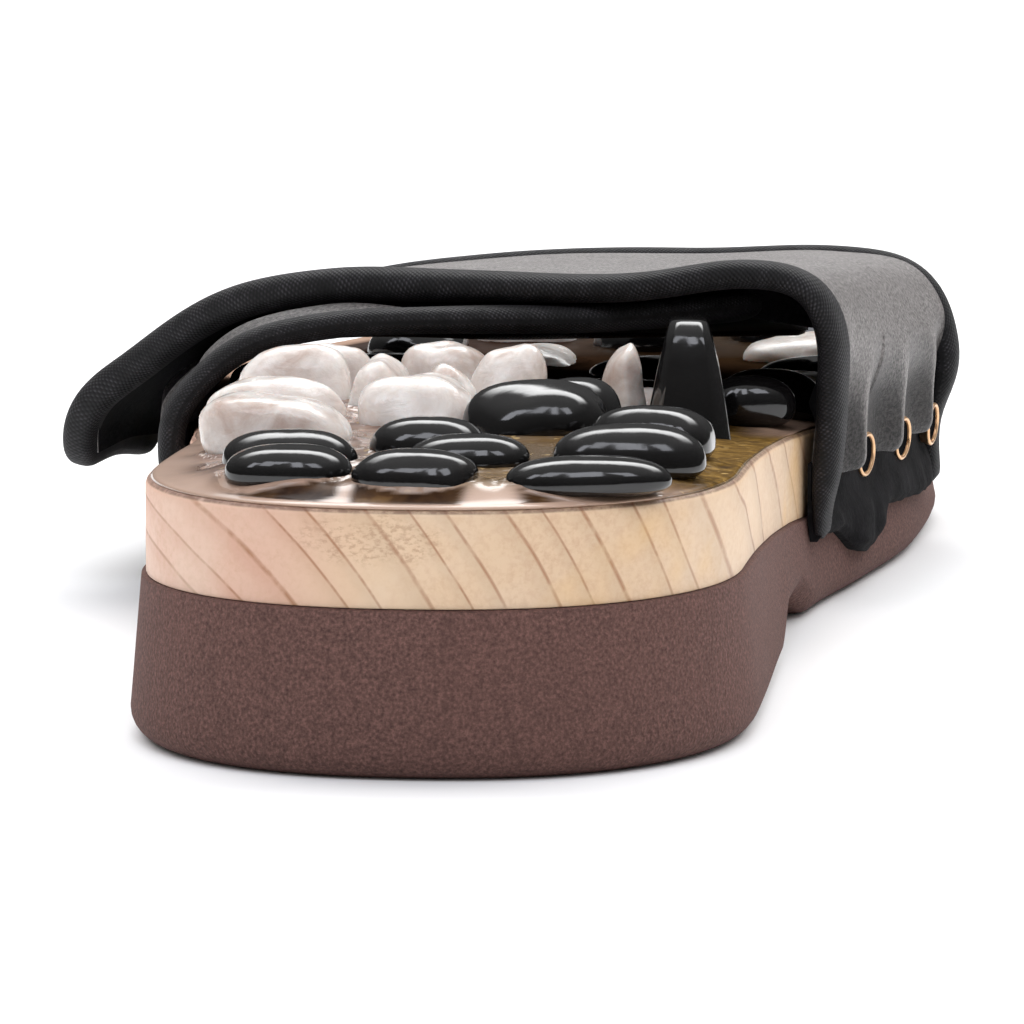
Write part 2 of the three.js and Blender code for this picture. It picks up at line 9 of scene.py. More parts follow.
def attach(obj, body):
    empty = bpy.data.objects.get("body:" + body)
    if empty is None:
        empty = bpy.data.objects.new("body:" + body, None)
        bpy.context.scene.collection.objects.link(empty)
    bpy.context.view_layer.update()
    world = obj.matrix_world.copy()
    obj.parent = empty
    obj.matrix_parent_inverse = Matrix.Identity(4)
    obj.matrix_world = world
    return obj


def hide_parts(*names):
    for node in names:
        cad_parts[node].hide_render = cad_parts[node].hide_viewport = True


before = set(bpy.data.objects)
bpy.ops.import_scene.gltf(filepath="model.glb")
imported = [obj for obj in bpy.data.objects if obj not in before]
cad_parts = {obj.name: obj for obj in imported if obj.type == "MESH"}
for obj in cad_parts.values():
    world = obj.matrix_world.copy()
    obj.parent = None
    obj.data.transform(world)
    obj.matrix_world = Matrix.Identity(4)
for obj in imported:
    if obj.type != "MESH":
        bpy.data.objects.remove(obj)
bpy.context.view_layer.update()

bl_info = {
    "name": "Massage Sandal",
    "version": (1, 0, 0),
    "blender": (4, 5, 0),
    "location": "View3D > Sidebar > Sandal",
    "description": "Builds a pebble massage sandal piece by piece",
    "category": "Object",
}

MM = 0.001
BODY = "root"

# The sole's outline, in millimetres
SOLE_LENGTH = 264.0
HEEL_ROUND = 36.0
TOE_ROUND = 58.0
END_POWER = 2.25

# The sole by sections, in millimetres: how far from the back of the heel, its edges seen from above, the
# board's underside, the foam's underside and how deep the resin is poured.
SOLE_KEYS = ("y", "medial", "lateral", "board", "floor", "pour")
SOLE = [
    (0, 31.5, -31.5, 17.3, 0, 0.9),
    (36, 32.1, -31.6, 17.2, 0, 2.3),
    (80, 31.3, -34.8, 14.6, 0, 4.4),
    (92, 31.2, -36.9, 13.7, 4.3, 4.6),
    (108, 31.3, -39.2, 12.5, 4.3, 3.8),
    (123, 32.2, -41.5, 11.5, 0, 2.2),
    (150, 36.5, -46, 10.3, 0, 2),
    (182, 40.6, -50.2, 9.6, 0, 2),
    (205, 41.2, -50.2, 9.5, 0, 2),
    (224, 41, -46, 9.7, 0, 2),
    (264, 39, -28, 13.2, 6.5, 2),
]

# Girths of the straps and of their closure: a row's name, its rear and its front edge (y, x or None, z, off).
# A row without x follows the sole's edge, and off is how far out from it the row lies.
FLAP = [
    ("hem", (120, None, 8.5, 0), (197, None, 6.5, 0)),
    ("tack line", (120, None, 16, 0), (197, None, 14.6, 0)),
    ("wall", (119.5, None, 25, 0.8), (197, None, 23, 1.8)),
    ("wall top", (119, 34.6, 32.5, 0), (197, 43.3, 29.6, 0)),
    ("shoulder", (118, 31.9, 38.9, 0), (198, 39.6, 33.7, 0)),
    ("crown", (118, 25, 40.5, 0), (199, 30, 35.1, 0)),
    ("saddle", (118, 11, 38.6, 0), (200, 14, 34.6, 0)),
    ("middle", (119, -8, 38.5, 0), (199, -6, 34.3, 0)),
    ("lateral top", (122, -25, 38.2, 0), (195, -27, 32.2, 0)),
    ("lateral shoulder", (126, -38, 35.2, 0), (190, -41.4, 28.4, 0)),
    ("fall", (129, -48.4, 28.4, 0), (185, -50.6, 22, 0)),
    ("end corner", (131, -54.8, 21.6, 0), (180, -54.4, 17, 0)),
    ("free end", (137, -56.6, 15, 0), (172, -54.6, 13.4, 0)),
]
STRAP = [
    ("hem", (113, None, 9, 0), (191, None, 6.5, 0)),
    ("tack line", (113, None, 16.5, 0), (191, None, 14, 0)),
    ("wall", (113, None, 22.4, 0.1), (191, None, 19.4, 0.4)),
    ("lower shoulder", (113, -38.6, 27.6, 0), (191, -48, 23.4, 0)),
    ("shoulder", (113, -33.6, 31.8, 0), (191, -41.6, 25.8, 0)),
    ("top", (113, -24, 34.4, 0), (191, -30, 26.8, 0)),
    ("middle", (114, -9, 35.2, 0), (192, -12, 26.6, 0)),
    ("inner", (120, 8, 35, 0), (191, 8, 27.2, 0)),
    ("medial end", (134, 24, 35.4, 0), (188, 28, 28, 0)),
]
CLOSURE = [
    ("lateral side", (131, -29, 34.1, 0), (180, -30, 30, 0)),
    ("middle", (128, -12, 35.7, 0), (183, -12, 31, 0)),
    ("medial side", (131, 3, 35.75, 0), (180, 3, 31.7, 0)),
    ("medial end", (138, 20, 36.2, 0), (180, 20, 32.4, 0)),
    ("shoulder", (142, 31, 34.2, 0), (182, 33, 31.2, 0)),
]
HALF_CLOSURE = 2.3

# The tacks of each side: how far the first one lies from the heel, and the pitch.
TACKS = {"medial": (128.2, 20.2), "lateral": (121.2, 20.4)}
TACK_COUNT = 4
# Where each ring lies against its tack, rear to front: forward, and out from the sole's edge.
RINGS = [(0, 0.8), (-0.3, 0.5), (0, 0.6), (-1.2, 1.7)]
# A ring's rise over its tack, its tilt to the rear, its radius and its wire's radius.
RING_RISE = 0.6
RING_TILT = -0.14
RING_RADIUS = 2.46
RING_WIRE = 0.28

# How a strap lies against the sole: the gap behind it, and half its wall.
SEAT_GAP = 0.3
HALF_WALL = 1.1

# Folds of the leather between two tacks: how far it is drawn in at a tack, how wide a ridge and the highlight
# painted along it are at the hem and how much wider further up, and where its lower end starts and is full.
# FOLD_FADE has the heights between which a ridge and its painted highlight widen, and its fit and the shade
# painted on it die out.
DRAWN_IN = 1.75
RIDGE_WIDTH = (2.9, 3.8)
LIGHT_WIDTH = (1.4, 1.2)
LIGHT_SHIFT = 0.9
FINGER_TIP = 15.3
FINGER_NOSE = 2.4
FOLD_FADE = {"ridge": (19, 31), "light": (18, 28), "fit": (20, 31.5), "shade": (19, 33.5)}
# The first and the last fold start and end so far outside and inside their tacks, in pitches.
FOLD_ENDS = (0.08, 0.10)
CREST_SWAY = 0.5

# The leather: how high its lower edge lies between two tacks, how much higher at a tack, how far it stops
# short of a strap's edge under the binding, and how far the lateral strap puffs out behind.
LEATHER_EDGE = 15.5
LEATHER_NOTCH = 2.4
UNDER_BINDING = 1.9
PUFF = 1.35
# PUFF_SHADE is how dark the shade painted on the puff is, where the flap's edge hangs over it.
PUFF_SHADE = 0.55
WAVES = 0.25
THINNEST_LEATHER = 0.6
# How far the lining may lie inside the wall's middle beside the board, and how much further above it.
LINING = (1.15, 3)
# Where the leather changes: from a tack, over the hem, by height, from the rear edge, by height and to the
# side for the puff and the shade painted on it, from an edge for its swell and for its painted shade, and
# over the board.
LEATHER_FADE = {
    "notch": (2.6, 6.0), "hem": (24, 36), "waves": (16, 30), "behind": (7, 15), "raised": (25, 29),
    "beside": (-24, -10), "bound": (2, 7), "shade": (1.5, 4), "over board": (0, 5),
}

# The bindings: the tape's least half width and what is added to it, along the rear and along the front,
# its half width at a free end, how far it overlaps an edge, the step along it and its section's squareness.
REAR_TAPE = (3.4, 0.8)
FRONT_TAPE = (2.3, 0.9)
END_TAPE = 2.9
TAPE_OVERLAP = 0.35
TAPE_STEP = 0.8
ROLL_POWER = 0.72
# The tape starts at this share of a girth. Its inner side beside the board lies so far inside the wall's
# middle, it is thicker where the flap crosses the strap, and thinner at the hems, rear and front.
TAPE_START = 0.004
TAPE_INSIDE = 1.0
THICKER = 0.30
THINNER = (0.48, 0.40)
SMOOTHINGS = 14
WOBBLE = (0.05, 0.04)
WOBBLE_LENGTH = 11
LEAST_WIDTH = 9
# Where the tape changes: along the girth for its widths, before a free end, across the strap, to the side,
# by height at the hems, and over the board.
TAPE_FADE = {
    "rear": (11, 24), "front": (12, 26), "end": (22, 6), "across": (0.25, 0.75), "crossing": (-22, 8),
    "rear hem": (10, 18), "front hem": (14, 25), "over board": (1, 7),
}

# Lower edge of the cloth trim under each hem, from the rear to the front: y and height.
TRIM_EDGE = {
    "medial": [
        (120, 8.9), (131, 8.9), (135, 8), (140, 5.4), (145, 4.5), (150, 4.9),
        (153, 6.4), (155, 8.6), (170, 8), (185, 7), (197, 7.2),
    ],
    "lateral": [
        (113, 9), (122, 8.2), (130, 6.2), (138, 5), (142, 7), (150, 7.8), (165, 6.8), (180, 6), (191, 6.8),
    ],
}
TRIM_TOP = 18.0
# The trim's gap to the foam, its wall, and what is added to that where it hangs free and wrinkles.
TRIM_GAP = 0.15
TRIM_WALL = 0.4
TRIM_BULGE = 1.1
TRIM_WRINKLE = 0.8
TRIM_HANGS = (9, 14)

# The resin: how far in from the sole's edge it starts, its rounded lip, its rise at the heel, and how it
# climbs against a stone. Stones nearer the heel's back than FIRST_ROW have a dark pool painted before them,
# a painted shadow of the stone seen through the resin.
RESIN_INSET = 1.05
RESIN_LIP = 0.35
LIP_WIDTH = 0.9
HEEL_RISE = 0.62
STONE_CLIMB = 0.4
ARCH_CLIMB = 0.3
CLIMB_WIDTH = 0.8
FIRST_ROW = 16
FARTHEST_GAP = 10.0
RESIN_WAVES = 0.18
RESIN_WAVE_LENGTH = 13
# How wide its slope at the rim is at the heel and how much wider further on, and how much lower it lies
# beside the arch. Its points stand partly closer together at the sides.
RESIN_SLOPE = (5.0, 12.0)
ARCH_DIP = 0.62
RESIN_STEPS = (44, 190, 60)
SIDE_EASE = 0.45
# Where the resin changes: from the heel's back, to the side, and from the rim.
RESIN_FADE = {
    "slope": (8, 36), "heel": (10, 34), "arch": (45, 62), "ball": (116, 132), "medial": (5, 17),
    "gold side": (14, 22), "gold start": (10, 24), "gold end": (100, 125),
    "calm": (0.6, 3.5), "rim": (2.2, 7),
}
# Where a painted shadow pool ends: across its stone in half lengths, near it, far from it, and at the rim.
POOL_FADE = {"across": (0.78, 0.98), "near": (0.4, 0.8), "far": (4.6, 6.0), "rim": (0.8, 1.2)}

# How high a pebble is widest, as a share of its height: a smooth one and a lumpy one.
WIDEST_AT = (0.34, 0.50)

# Layers of the arch stone, from its base up: share of its height, half length and half thickness.
ARCH_LAYERS = [
    (0, 12.0, 4.9), (0.30, 11.7, 4.3), (0.60, 11.1, 3.5), (0.80, 10.4, 2.85), (0.85, 10.1, 2.7),
    (0.90, 9.6, 2.5), (0.94, 8.9, 2.35), (0.975, 8.0, 2.2), (0.995, 7.1, 1.95), (1.0, 6.2, 1.6),
]
ARCH_CORNER = 2.6
ARCH_EASE = 0.5

# Windows over the camera: place and size in metres.
WINDOWS = (
    ("window_far_left", (-0.56, -0.50, 0.88), (0.22, 0.52)),
    ("window_left", (-0.20, -0.48, 1.02), (0.26, 0.50)),
    ("window_right", (0.14, -0.58, 0.98), (0.20, 0.56)),
    ("window_far_right", (0.50, -0.46, 0.94), (0.28, 0.46)),
)
WINDOW_COLOUR = (0.90, 0.92, 1.0)
WINDOW_AIM = (0, 0, 0.03)


class SandalSole(bpy.types.PropertyGroup):
    """Sizes and colours of the sole."""

    heel_centre: FloatProperty(
        name="Heel centre", description="From the heel's back to the origin", default=0.040, unit="LENGTH"
    )
    flare: FloatProperty(
        name="Flare", description="How far the foam widens downwards", default=0.0012, unit="LENGTH"
    )
    edge_radius: FloatProperty(
        name="Edge radius", description="Round of the foam's lower edge", default=0.003, unit="LENGTH"
    )
    board: FloatProperty(
        name="Board", description="Thickness of the wooden board", default=0.010, unit="LENGTH"
    )
    foam_colour: FloatVectorProperty(
        name="Foam", description="Foam colour",
        subtype="COLOR", default=(0.106, 0.054, 0.045), min=0, max=1,
    )
    wood_colour: FloatVectorProperty(
        name="Wood", description="Early wood colour",
        subtype="COLOR", default=(0.655, 0.475, 0.315), min=0, max=1,
    )
    stain_colour: FloatVectorProperty(
        name="Stain", description="Stain under the resin",
        subtype="COLOR", default=(0.15, 0.082, 0.022), min=0, max=1,
    )


class SandalUpper(bpy.types.PropertyGroup):
    """Sizes and colours of the straps."""

    leather: FloatProperty(name="Leather", description="Wall of a strap", default=0.0022, unit="LENGTH")
    rear_roll: FloatProperty(
        name="Rear binding", description="Thickness at the rear", default=0.0033, unit="LENGTH"
    )
    front_roll: FloatProperty(
        name="Front binding", description="Thickness in front", default=0.0035, unit="LENGTH"
    )
    pleat: FloatProperty(
        name="Pleat", description="Depth of a fold between two tacks", default=0.0027, unit="LENGTH"
    )
    leather_colour: FloatVectorProperty(
        name="Leather", description="Leather colour",
        subtype="COLOR", default=(0.156, 0.144, 0.139), min=0, max=1,
    )
    cloth_colour: FloatVectorProperty(
        name="Cloth", description="Binding, trim and lining",
        subtype="COLOR", default=(0.0085, 0.0079, 0.0090), min=0, max=1,
    )
    brass_colour: FloatVectorProperty(
        name="Brass", description="Tack colour",
        subtype="COLOR", default=(0.80, 0.50, 0.28), min=0, max=1,
    )


class SandalStones(bpy.types.PropertyGroup):
    """Colours of the stones."""

    black_colour: FloatVectorProperty(
        name="Black stone", description="Polished black",
        subtype="COLOR", default=(0.0035, 0.0032, 0.0032), min=0, max=1,
    )
    white_colour: FloatVectorProperty(
        name="White stone", description="Milky quartz",
        subtype="COLOR", default=(0.63, 0.58, 0.545), min=0, max=1,
    )


class SandalStage(bpy.types.PropertyGroup):
    """Camera, floor and lights."""

    camera_place: FloatVectorProperty(
        name="Camera", description="Camera position",
        subtype="TRANSLATION", default=(0.08926, -0.7089, 0.11385),
    )
    camera_aim: FloatVectorProperty(
        name="Aim", description="Viewing direction",
        subtype="DIRECTION", default=(-0.11599, 0.99529, -0.12861),
    )
    lens: FloatProperty(name="Lens", description="Focal length in millimetres", default=239.0)
    key_strength: FloatProperty(
        name="Key light", description="Strength of the light above and behind", default=5.6
    )
    window_power: FloatProperty(
        name="Windows", description="Power of each window", default=1.6, subtype="POWER"
    )
    floor_colour: FloatVectorProperty(
        name="Floor", description="Floor colour",
        subtype="COLOR", default=(0.90, 0.90, 0.90), min=0, max=1,
    )


# Curves and outlines, in millimetres


def smoothstep(x, low, high):
    """A soft step from 0 at low to 1 at high."""
    t = np.clip((np.asarray(x, float) - low) / (high - low), 0, 1)
    return t * t * (3 - 2 * t)


def unit(vectors):
    """The same directions, each of length 1."""
    return vectors / np.linalg.norm(vectors, axis=-1, keepdims=True)


def lengths_along(path):
    """How far each point of a path lies from its start."""
    return np.r_[0, np.cumsum(np.linalg.norm(np.diff(path, axis=0), axis=1))]


def points_along(path, run, at):
    """Points of a path at the distances at, where run says how far its own points lie."""
    return np.c_[[np.interp(at, run, path[:, c]) for c in range(3)]].T


def along(column, y):
    """A column of the sole's table at y, on a curve that never overshoots its rows."""
    ys, vs = (np.array([row[SOLE_KEYS.index(key)] for row in SOLE], float) for key in ("y", column))
    slope = np.diff(vs) / np.diff(ys)
    tangent = np.concatenate([slope[:1], np.zeros(len(ys) - 2), slope[-1:]])
    before, after = slope[:-1], slope[1:]
    same = before * after > 0
    tangent[1:-1][same] = 2 * before[same] * after[same] / (before[same] + after[same])
    k = np.clip(np.searchsorted(ys, y, side="right") - 1, 0, len(ys) - 2)
    step = ys[k + 1] - ys[k]
    t = np.clip((y - ys[k]) / step, 0, 1)
    a, b = vs[k], vs[k + 1]
    bend = (1 - t) * (tangent[k] * step + a - b) - t * (tangent[k + 1] * step + a - b)
    return a + (b - a) * t + t * (1 - t) * bend


def end_round(y):
    """Share of its full width that the sole has at y: less than 1 towards the heel's back and the toe."""
    share = np.minimum(1, np.minimum(y / HEEL_ROUND, (SOLE_LENGTH - y) / TOE_ROUND))
    return (1 - np.maximum(0, 1 - share) ** END_POWER) ** (1 / END_POWER)


def edge(side, y):
    """The sole's edge on one side, seen from above."""
    y = np.asarray(y, float)
    middle = (along("medial", y) + along("lateral", y)) / 2
    return middle + (along(side, y) - middle) * end_round(y)


def board_top(y):
    """Height of the board's upper side at y."""
    return along("board", np.asarray(y, float)) + bpy.context.scene.sandal_sole.board / MM


def flare_at(y, z):
    """How far the foam stands out from the sole's edge at the height z."""
    flare = bpy.context.scene.sandal_sole.flare / MM
    return flare * (1 - np.clip(z / along("board", y), 0, 1))


def sole_stations(heel, middle, toe):
    """Places from the heel's back to the toe: so many steps in each stretch, closer at the round ends."""
    heel_share, toe_share = (1 - np.cos(np.pi / 2 * np.arange(n) / n) for n in (heel, toe))
    straight = np.linspace(HEEL_ROUND, SOLE_LENGTH - TOE_ROUND, middle, endpoint=False)
    return np.concatenate([HEEL_ROUND * heel_share, straight, SOLE_LENGTH - TOE_ROUND * toe_share[::-1]])


def sole_outline(stations):
    """Points round the sole and their outward normals: up the medial side and back down the lateral one."""
    medial = np.c_[edge("medial", stations), stations]
    lateral = np.c_[edge("lateral", stations[1:-1]), stations[1:-1]][::-1]
    points = np.vstack([medial, lateral])
    run = unit(np.roll(points, -1, 0) - np.roll(points, 1, 0))
    return points, np.c_[run[:, 1], -run[:, 0]]


# Meshes


def to_part(points):
    """From millimetres behind the heel to the part's frame in metres."""
    points = np.array(points, float) * MM
    points[:, 1] -= bpy.context.scene.sandal_sole.heel_centre
    return points


def node_points(node):
    """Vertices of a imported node, in millimetres behind the heel."""
    points = np.array([v.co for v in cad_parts[node].data.vertices]) / MM
    points[:, 1] += bpy.context.scene.sandal_sole.heel_centre / MM
    return points


def make_piece(name, points, faces, finishes, nodes, face_finish=None, smooth_angle=None):
    """A mesh piece in the part's frame that rides on the part and stands for CAD nodes."""
    mesh = bpy.data.meshes.new(name)
    mesh.from_pydata(to_part(points).tolist(), [], [list(map(int, face)) for face in faces])
    if mesh.validate():
        raise RuntimeError(f"{name} has faces that are not valid")
    for finish in finishes:
        mesh.materials.append(finish)
    if face_finish is not None:
        mesh.polygons.foreach_set("material_index", np.asarray(face_finish, np.int32))
    mesh.polygons.foreach_set("use_smooth", np.ones(len(mesh.polygons), bool))
    if smooth_angle is not None:
        mesh.set_sharp_from_angle(angle=np.radians(smooth_angle))
    piece = bpy.data.objects.new(name, mesh)
    bpy.context.scene.collection.objects.link(piece)
    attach(piece, BODY)
    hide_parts(*nodes)
    return piece


def set_values(piece, name, values):
    """One number for each vertex, which the finish reads by name."""
    layer = piece.data.attributes.new(name, "FLOAT", "POINT")
    layer.data.foreach_set("value", np.asarray(values, np.float32))


def set_uv(piece, uv):
    """Flat coordinates for each vertex, in metres along and across."""
    layer = piece.data.uv_layers.new(name="weave")
    loops = np.empty(len(piece.data.loops), np.int32)
    piece.data.loops.foreach_get("vertex_index", loops)
    layer.data.foreach_set("uv", np.asarray(uv, np.float32)[loops].ravel())


def grid_faces(rows, columns, start=0, flipped=False, closed=False):
    """Quads of a grid of points, row by row. A closed grid joins its last column to its first."""
    faces = []
    for j in range(rows - 1):
        near, far = start + j * columns, start + (j + 1) * columns
        for i in range(columns if closed else columns - 1):
            k = (i + 1) % columns
            quad = (near + i, near + k, far + k, far + i)
            faces.append(quad[::-1] if flipped else quad)
    return faces


def fan_faces(tip, first, around, flipped=False):
    """Triangles that close a ring of points, numbered from first, with a point at its middle."""
    faces = [(tip, first + i, first + (i + 1) % around) for i in range(around)]
    return [(a, c, b) for a, b, c in faces] if flipped else faces


def tube_faces(rows, around, flipped=False):
    """A closed grid with a fan at each end, whose middle points are the two that follow the grid."""
    count = rows * around
    faces = grid_faces(rows, around, flipped=flipped, closed=True)
    faces += fan_faces(count, 0, around, not flipped)
    return faces + fan_faces(count + 1, count - around, around, flipped)


def sole_slab(rings, steps, columns):
    """A slab with the sole's outline, gridded on top and below, from rings of (offset, height) downwards."""
    stations = sole_stations(*steps)
    outline, out = sole_outline(stations)
    around, last = len(outline), len(stations) - 1
    vertices = np.vstack([np.c_[outline + out * offset, height(outline[:, 1])] for offset, height in rings])
    faces = grid_faces(len(rings), around, flipped=True, closed=True)
    extra, total = [], len(vertices)
    for ring, upward in ((0, True), (len(rings) - 1, False)):
        base = ring * around
        rows = []
        for j in range(1, last):
            medial, lateral = base + j, base + around - j
            across = vertices[lateral] - vertices[medial]
            inner = [vertices[medial] + across * k / columns for k in range(1, columns)]
            rows.append([medial, *range(total, total + len(inner)), lateral])
            total += len(inner)
            extra += inner
        for a, b in zip(rows, rows[1:]):
            for k in range(columns):
                quad = (a[k], b[k], b[k + 1], a[k + 1])
                faces.append(quad if upward else quad[::-1])
        for tip, row, turn in ((base, rows[0], upward), (base + last, rows[-1], not upward)):
            for k in range(columns):
                triangle = (tip, row[k], row[k + 1])
                faces.append(triangle if turn else triangle[::-1])
    return np.vstack([vertices, np.array(extra)]), faces


def close_sheet(outer, inner, flipped):
    """Two grids of the same size as one thick sheet, and whether each face is outer 0, inner 1 or rim 2."""
    rows, columns = outer.shape[:2]
    shift = rows * columns
    faces = grid_faces(rows, columns, flipped=flipped)
    kinds = [0] * len(faces)
    faces += grid_faces(rows, columns, start=shift, flipped=not flipped)
    kinds += [1] * (len(faces) - len(kinds))
    rim = [j * columns for j in range(rows)]
    rim += [(rows - 1) * columns + i for i in range(1, columns)]
    rim += [j * columns + columns - 1 for j in range(rows - 2, -1, -1)]
    rim += list(range(columns - 2, 0, -1))
    for a, b in zip(rim, rim[1:] + rim[:1]):
        quad = (a, b, b + shift, a + shift)
        faces.append(quad if flipped else quad[::-1])
    kinds += [2] * (len(faces) - len(kinds))
    return np.vstack([outer.reshape(-1, 3), inner.reshape(-1, 3)]), faces, kinds


def sweep(path, up, half_up, half_side, around=28, taper=1.6):
    """A soft roll along a path, with ends rounded over taper. up is the way of half_up at each point."""
    run = unit(np.gradient(path, axis=0))
    side = unit(np.cross(run, up))
    up = np.cross(side, run)
    length = lengths_along(path)
    from_end = np.minimum(length, length[-1] - length)
    close = np.sqrt(np.clip(1 - (1 - np.clip(from_end / taper, 0, 1)) ** 2, 0.02, 1))
    angle = 2 * np.pi * np.arange(around) / around
    ring = [np.sign(wave) * np.abs(wave) ** ROLL_POWER for wave in (np.cos(angle), np.sin(angle))]
    points = (
        path[:, None]
        + side[:, None] * (ring[0][None, :] * (half_side * close)[:, None])[..., None]
        + up[:, None] * (ring[1][None, :] * (half_up * close)[:, None])[..., None]
    )
    vertices = np.vstack([points.reshape(-1, 3), path[:1], path[-1:]])
    girth = np.pi * (np.mean(half_up) + np.mean(half_side))
    uv = np.stack(np.meshgrid(length, girth * np.arange(around) / around, indexing="ij"), -1).reshape(-1, 2)
    uv = np.vstack([uv, [[0, 0], [length[-1], 0]]]) * MM
    return vertices, tube_faces(len(path), around), uv


# Straps


def row_points(row, side, v):
    """Points of one row of a girth table, v of the way from its rear to its front edge."""
    _, rear, front = row

    def mix(i):
        return rear[i] + (front[i] - rear[i]) * v

    y, z = mix(0), mix(2)
    if rear[1] is not None:
        return np.c_[mix(1), y, z]
    x = edge(side, y)
    return np.c_[x + np.sign(x) * (SEAT_GAP + HALF_WALL + flare_at(y, z) + mix(3)), y, z]


def smooth_through(points, per_span):
    """A centripetal curve through rows of points, for all columns at once."""
    padded = np.concatenate([2 * points[:1] - points[1:2], points, 2 * points[-1:] - points[-2:-1]])
    gap = np.maximum(np.sum(np.diff(padded, axis=0) ** 2, axis=-1, keepdims=True), 1e-8) ** 0.25
    pieces = []
    for r in range(len(points) - 1):
        p0, p1, p2, p3 = padded[r : r + 4]
        d0, d1, d2 = gap[r], gap[r + 1], gap[r + 2]
        t1 = ((p1 - p0) / d0 - (p2 - p0) / (d0 + d1) + (p2 - p1) / d1) * d1
        t2 = ((p2 - p1) / d1 - (p3 - p1) / (d1 + d2) + (p3 - p2) / d2) * d1
        squared, cubed = 3 * (p2 - p1) - 2 * t1 - t2, 2 * (p1 - p2) + t1 + t2
        for k in range(per_span):
            t = k / per_span
            pieces.append(p1 + t1 * t + squared * t**2 + cubed * t**3)
    return np.array([*pieces, points[-1]])


class Wall:
    """The middle surface of a strap as a fine grid: rows run across its width, columns along its girth."""

    def __init__(self, girth, side, rows=161, columns=241):
        self.side = side
        v = np.linspace(0, 1, rows)
        dense = smooth_through(np.array([row_points(row, side, v) for row in girth]), 16)
        self.place = np.empty((rows, columns, 3))
        self.length = np.empty(rows)
        for j in range(rows):
            run = lengths_along(dense[:, j])
            self.length[j] = run[-1]
            self.place[j] = points_along(dense[:, j], run, np.linspace(0, run[-1], columns))
        over, run = np.gradient(self.place, axis=0), np.gradient(self.place, axis=1)
        self.out = unit(np.cross(over, run) if side == "medial" else np.cross(run, over))
        self.width = np.linalg.norm(self.place[-1] - self.place[0], axis=-1)

    def at(self, v, f):
        """Places and outward directions at shares v of the width and f of the girth."""
        rows, columns = self.place.shape[:2]
        j, i = np.clip(v, 0, 1) * (rows - 1), np.clip(f, 0, 1) * (columns - 1)
        j0, i0 = np.minimum(j.astype(int), rows - 2), np.minimum(i.astype(int), columns - 2)
        a, b = (j - j0)[..., None], (i - i0)[..., None]
        found = []
        for field in (self.place, self.out):
            near = field[j0, i0] * (1 - b) + field[j0, i0 + 1] * b
            far = field[j0 + 1, i0] * (1 - b) + field[j0 + 1, i0 + 1] * b
            found.append(near * (1 - a) + far * a)
        return found[0], unit(found[1])

    def width_at(self, f):
        """The strap's width at the share f of its girth."""
        return np.interp(f, np.linspace(0, 1, len(self.width)), self.width)


def pleats(side, place, depth):
    """Folds of the leather: it lies close to the sole at each tack and stands in a ridge between each two.

    Returns how far the wall moves out, and how strongly each point gets the shade painted on a fold's flank
    and the highlight painted along its crest.
    """
    first, pitch = TACKS[side]
    x, y, z = place[..., 0], place[..., 1], place[..., 2]
    share = (y - first) / pitch
    finger = np.clip(np.floor(share), 0, TACK_COUNT - 2)
    outside, inside = FOLD_ENDS
    begun = smoothstep(share, -outside, inside)
    over = smoothstep(share - (TACK_COUNT - 1), -inside, outside)
    between = begun * (1 - over)
    from_crest = (share - finger - 0.5) * pitch - CREST_SWAY * np.sin(z / 4 + finger)
    ridge_width = RIDGE_WIDTH[0] + RIDGE_WIDTH[1] * smoothstep(z, *FOLD_FADE["ridge"])
    light_width = LIGHT_WIDTH[0] + LIGHT_WIDTH[1] * smoothstep(z, *FOLD_FADE["light"])
    ridge = between * np.exp(-((from_crest / ridge_width) ** 2))
    # light is where a highlight is painted along each crest; the rest of a fold gets painted shade, which
    # shaded fades out upwards.
    light = between * np.exp(-(((from_crest - LIGHT_SHIFT) / light_width) ** 2))
    nose = np.sqrt(1 - (1 - np.clip((z - FINGER_TIP) / FINGER_NOSE, 0, 1)) ** 2)
    each = 1 + 0.08 * np.sin(finger * 2.3 + 0.7)
    low, high = FOLD_FADE["fit"]
    fitted = 1 - smoothstep(z, low, high + 1.2 * np.sin(finger * 1.7 + 2))
    stands = np.maximum(np.abs(x) - np.abs(edge(side, y)) - SEAT_GAP - HALF_WALL - flare_at(y, z), 0)
    swell = fitted * (depth * each * ridge * (0.5 + 0.5 * nose) - DRAWN_IN - stands)
    low, high = FOLD_FADE["shade"]
    shaded = 1 - smoothstep(z, low, high + 0.8 * np.sin(finger * 2.9))
    return swell, (1 - light) * shaded, light * shaded


def soft_waves(place, amount):
    """Slow unevenness of a hand-laid skin."""
    lift = []
    for p in place.reshape(-1, 3):
        slow = noise.noise(Vector((p[0] / 26, p[1] / 17, p[2] / 22)))
        lift.append(slow + 0.4 * noise.noise(Vector(p / 9)))
    return amount * np.array(lift).reshape(place.shape[:-1])


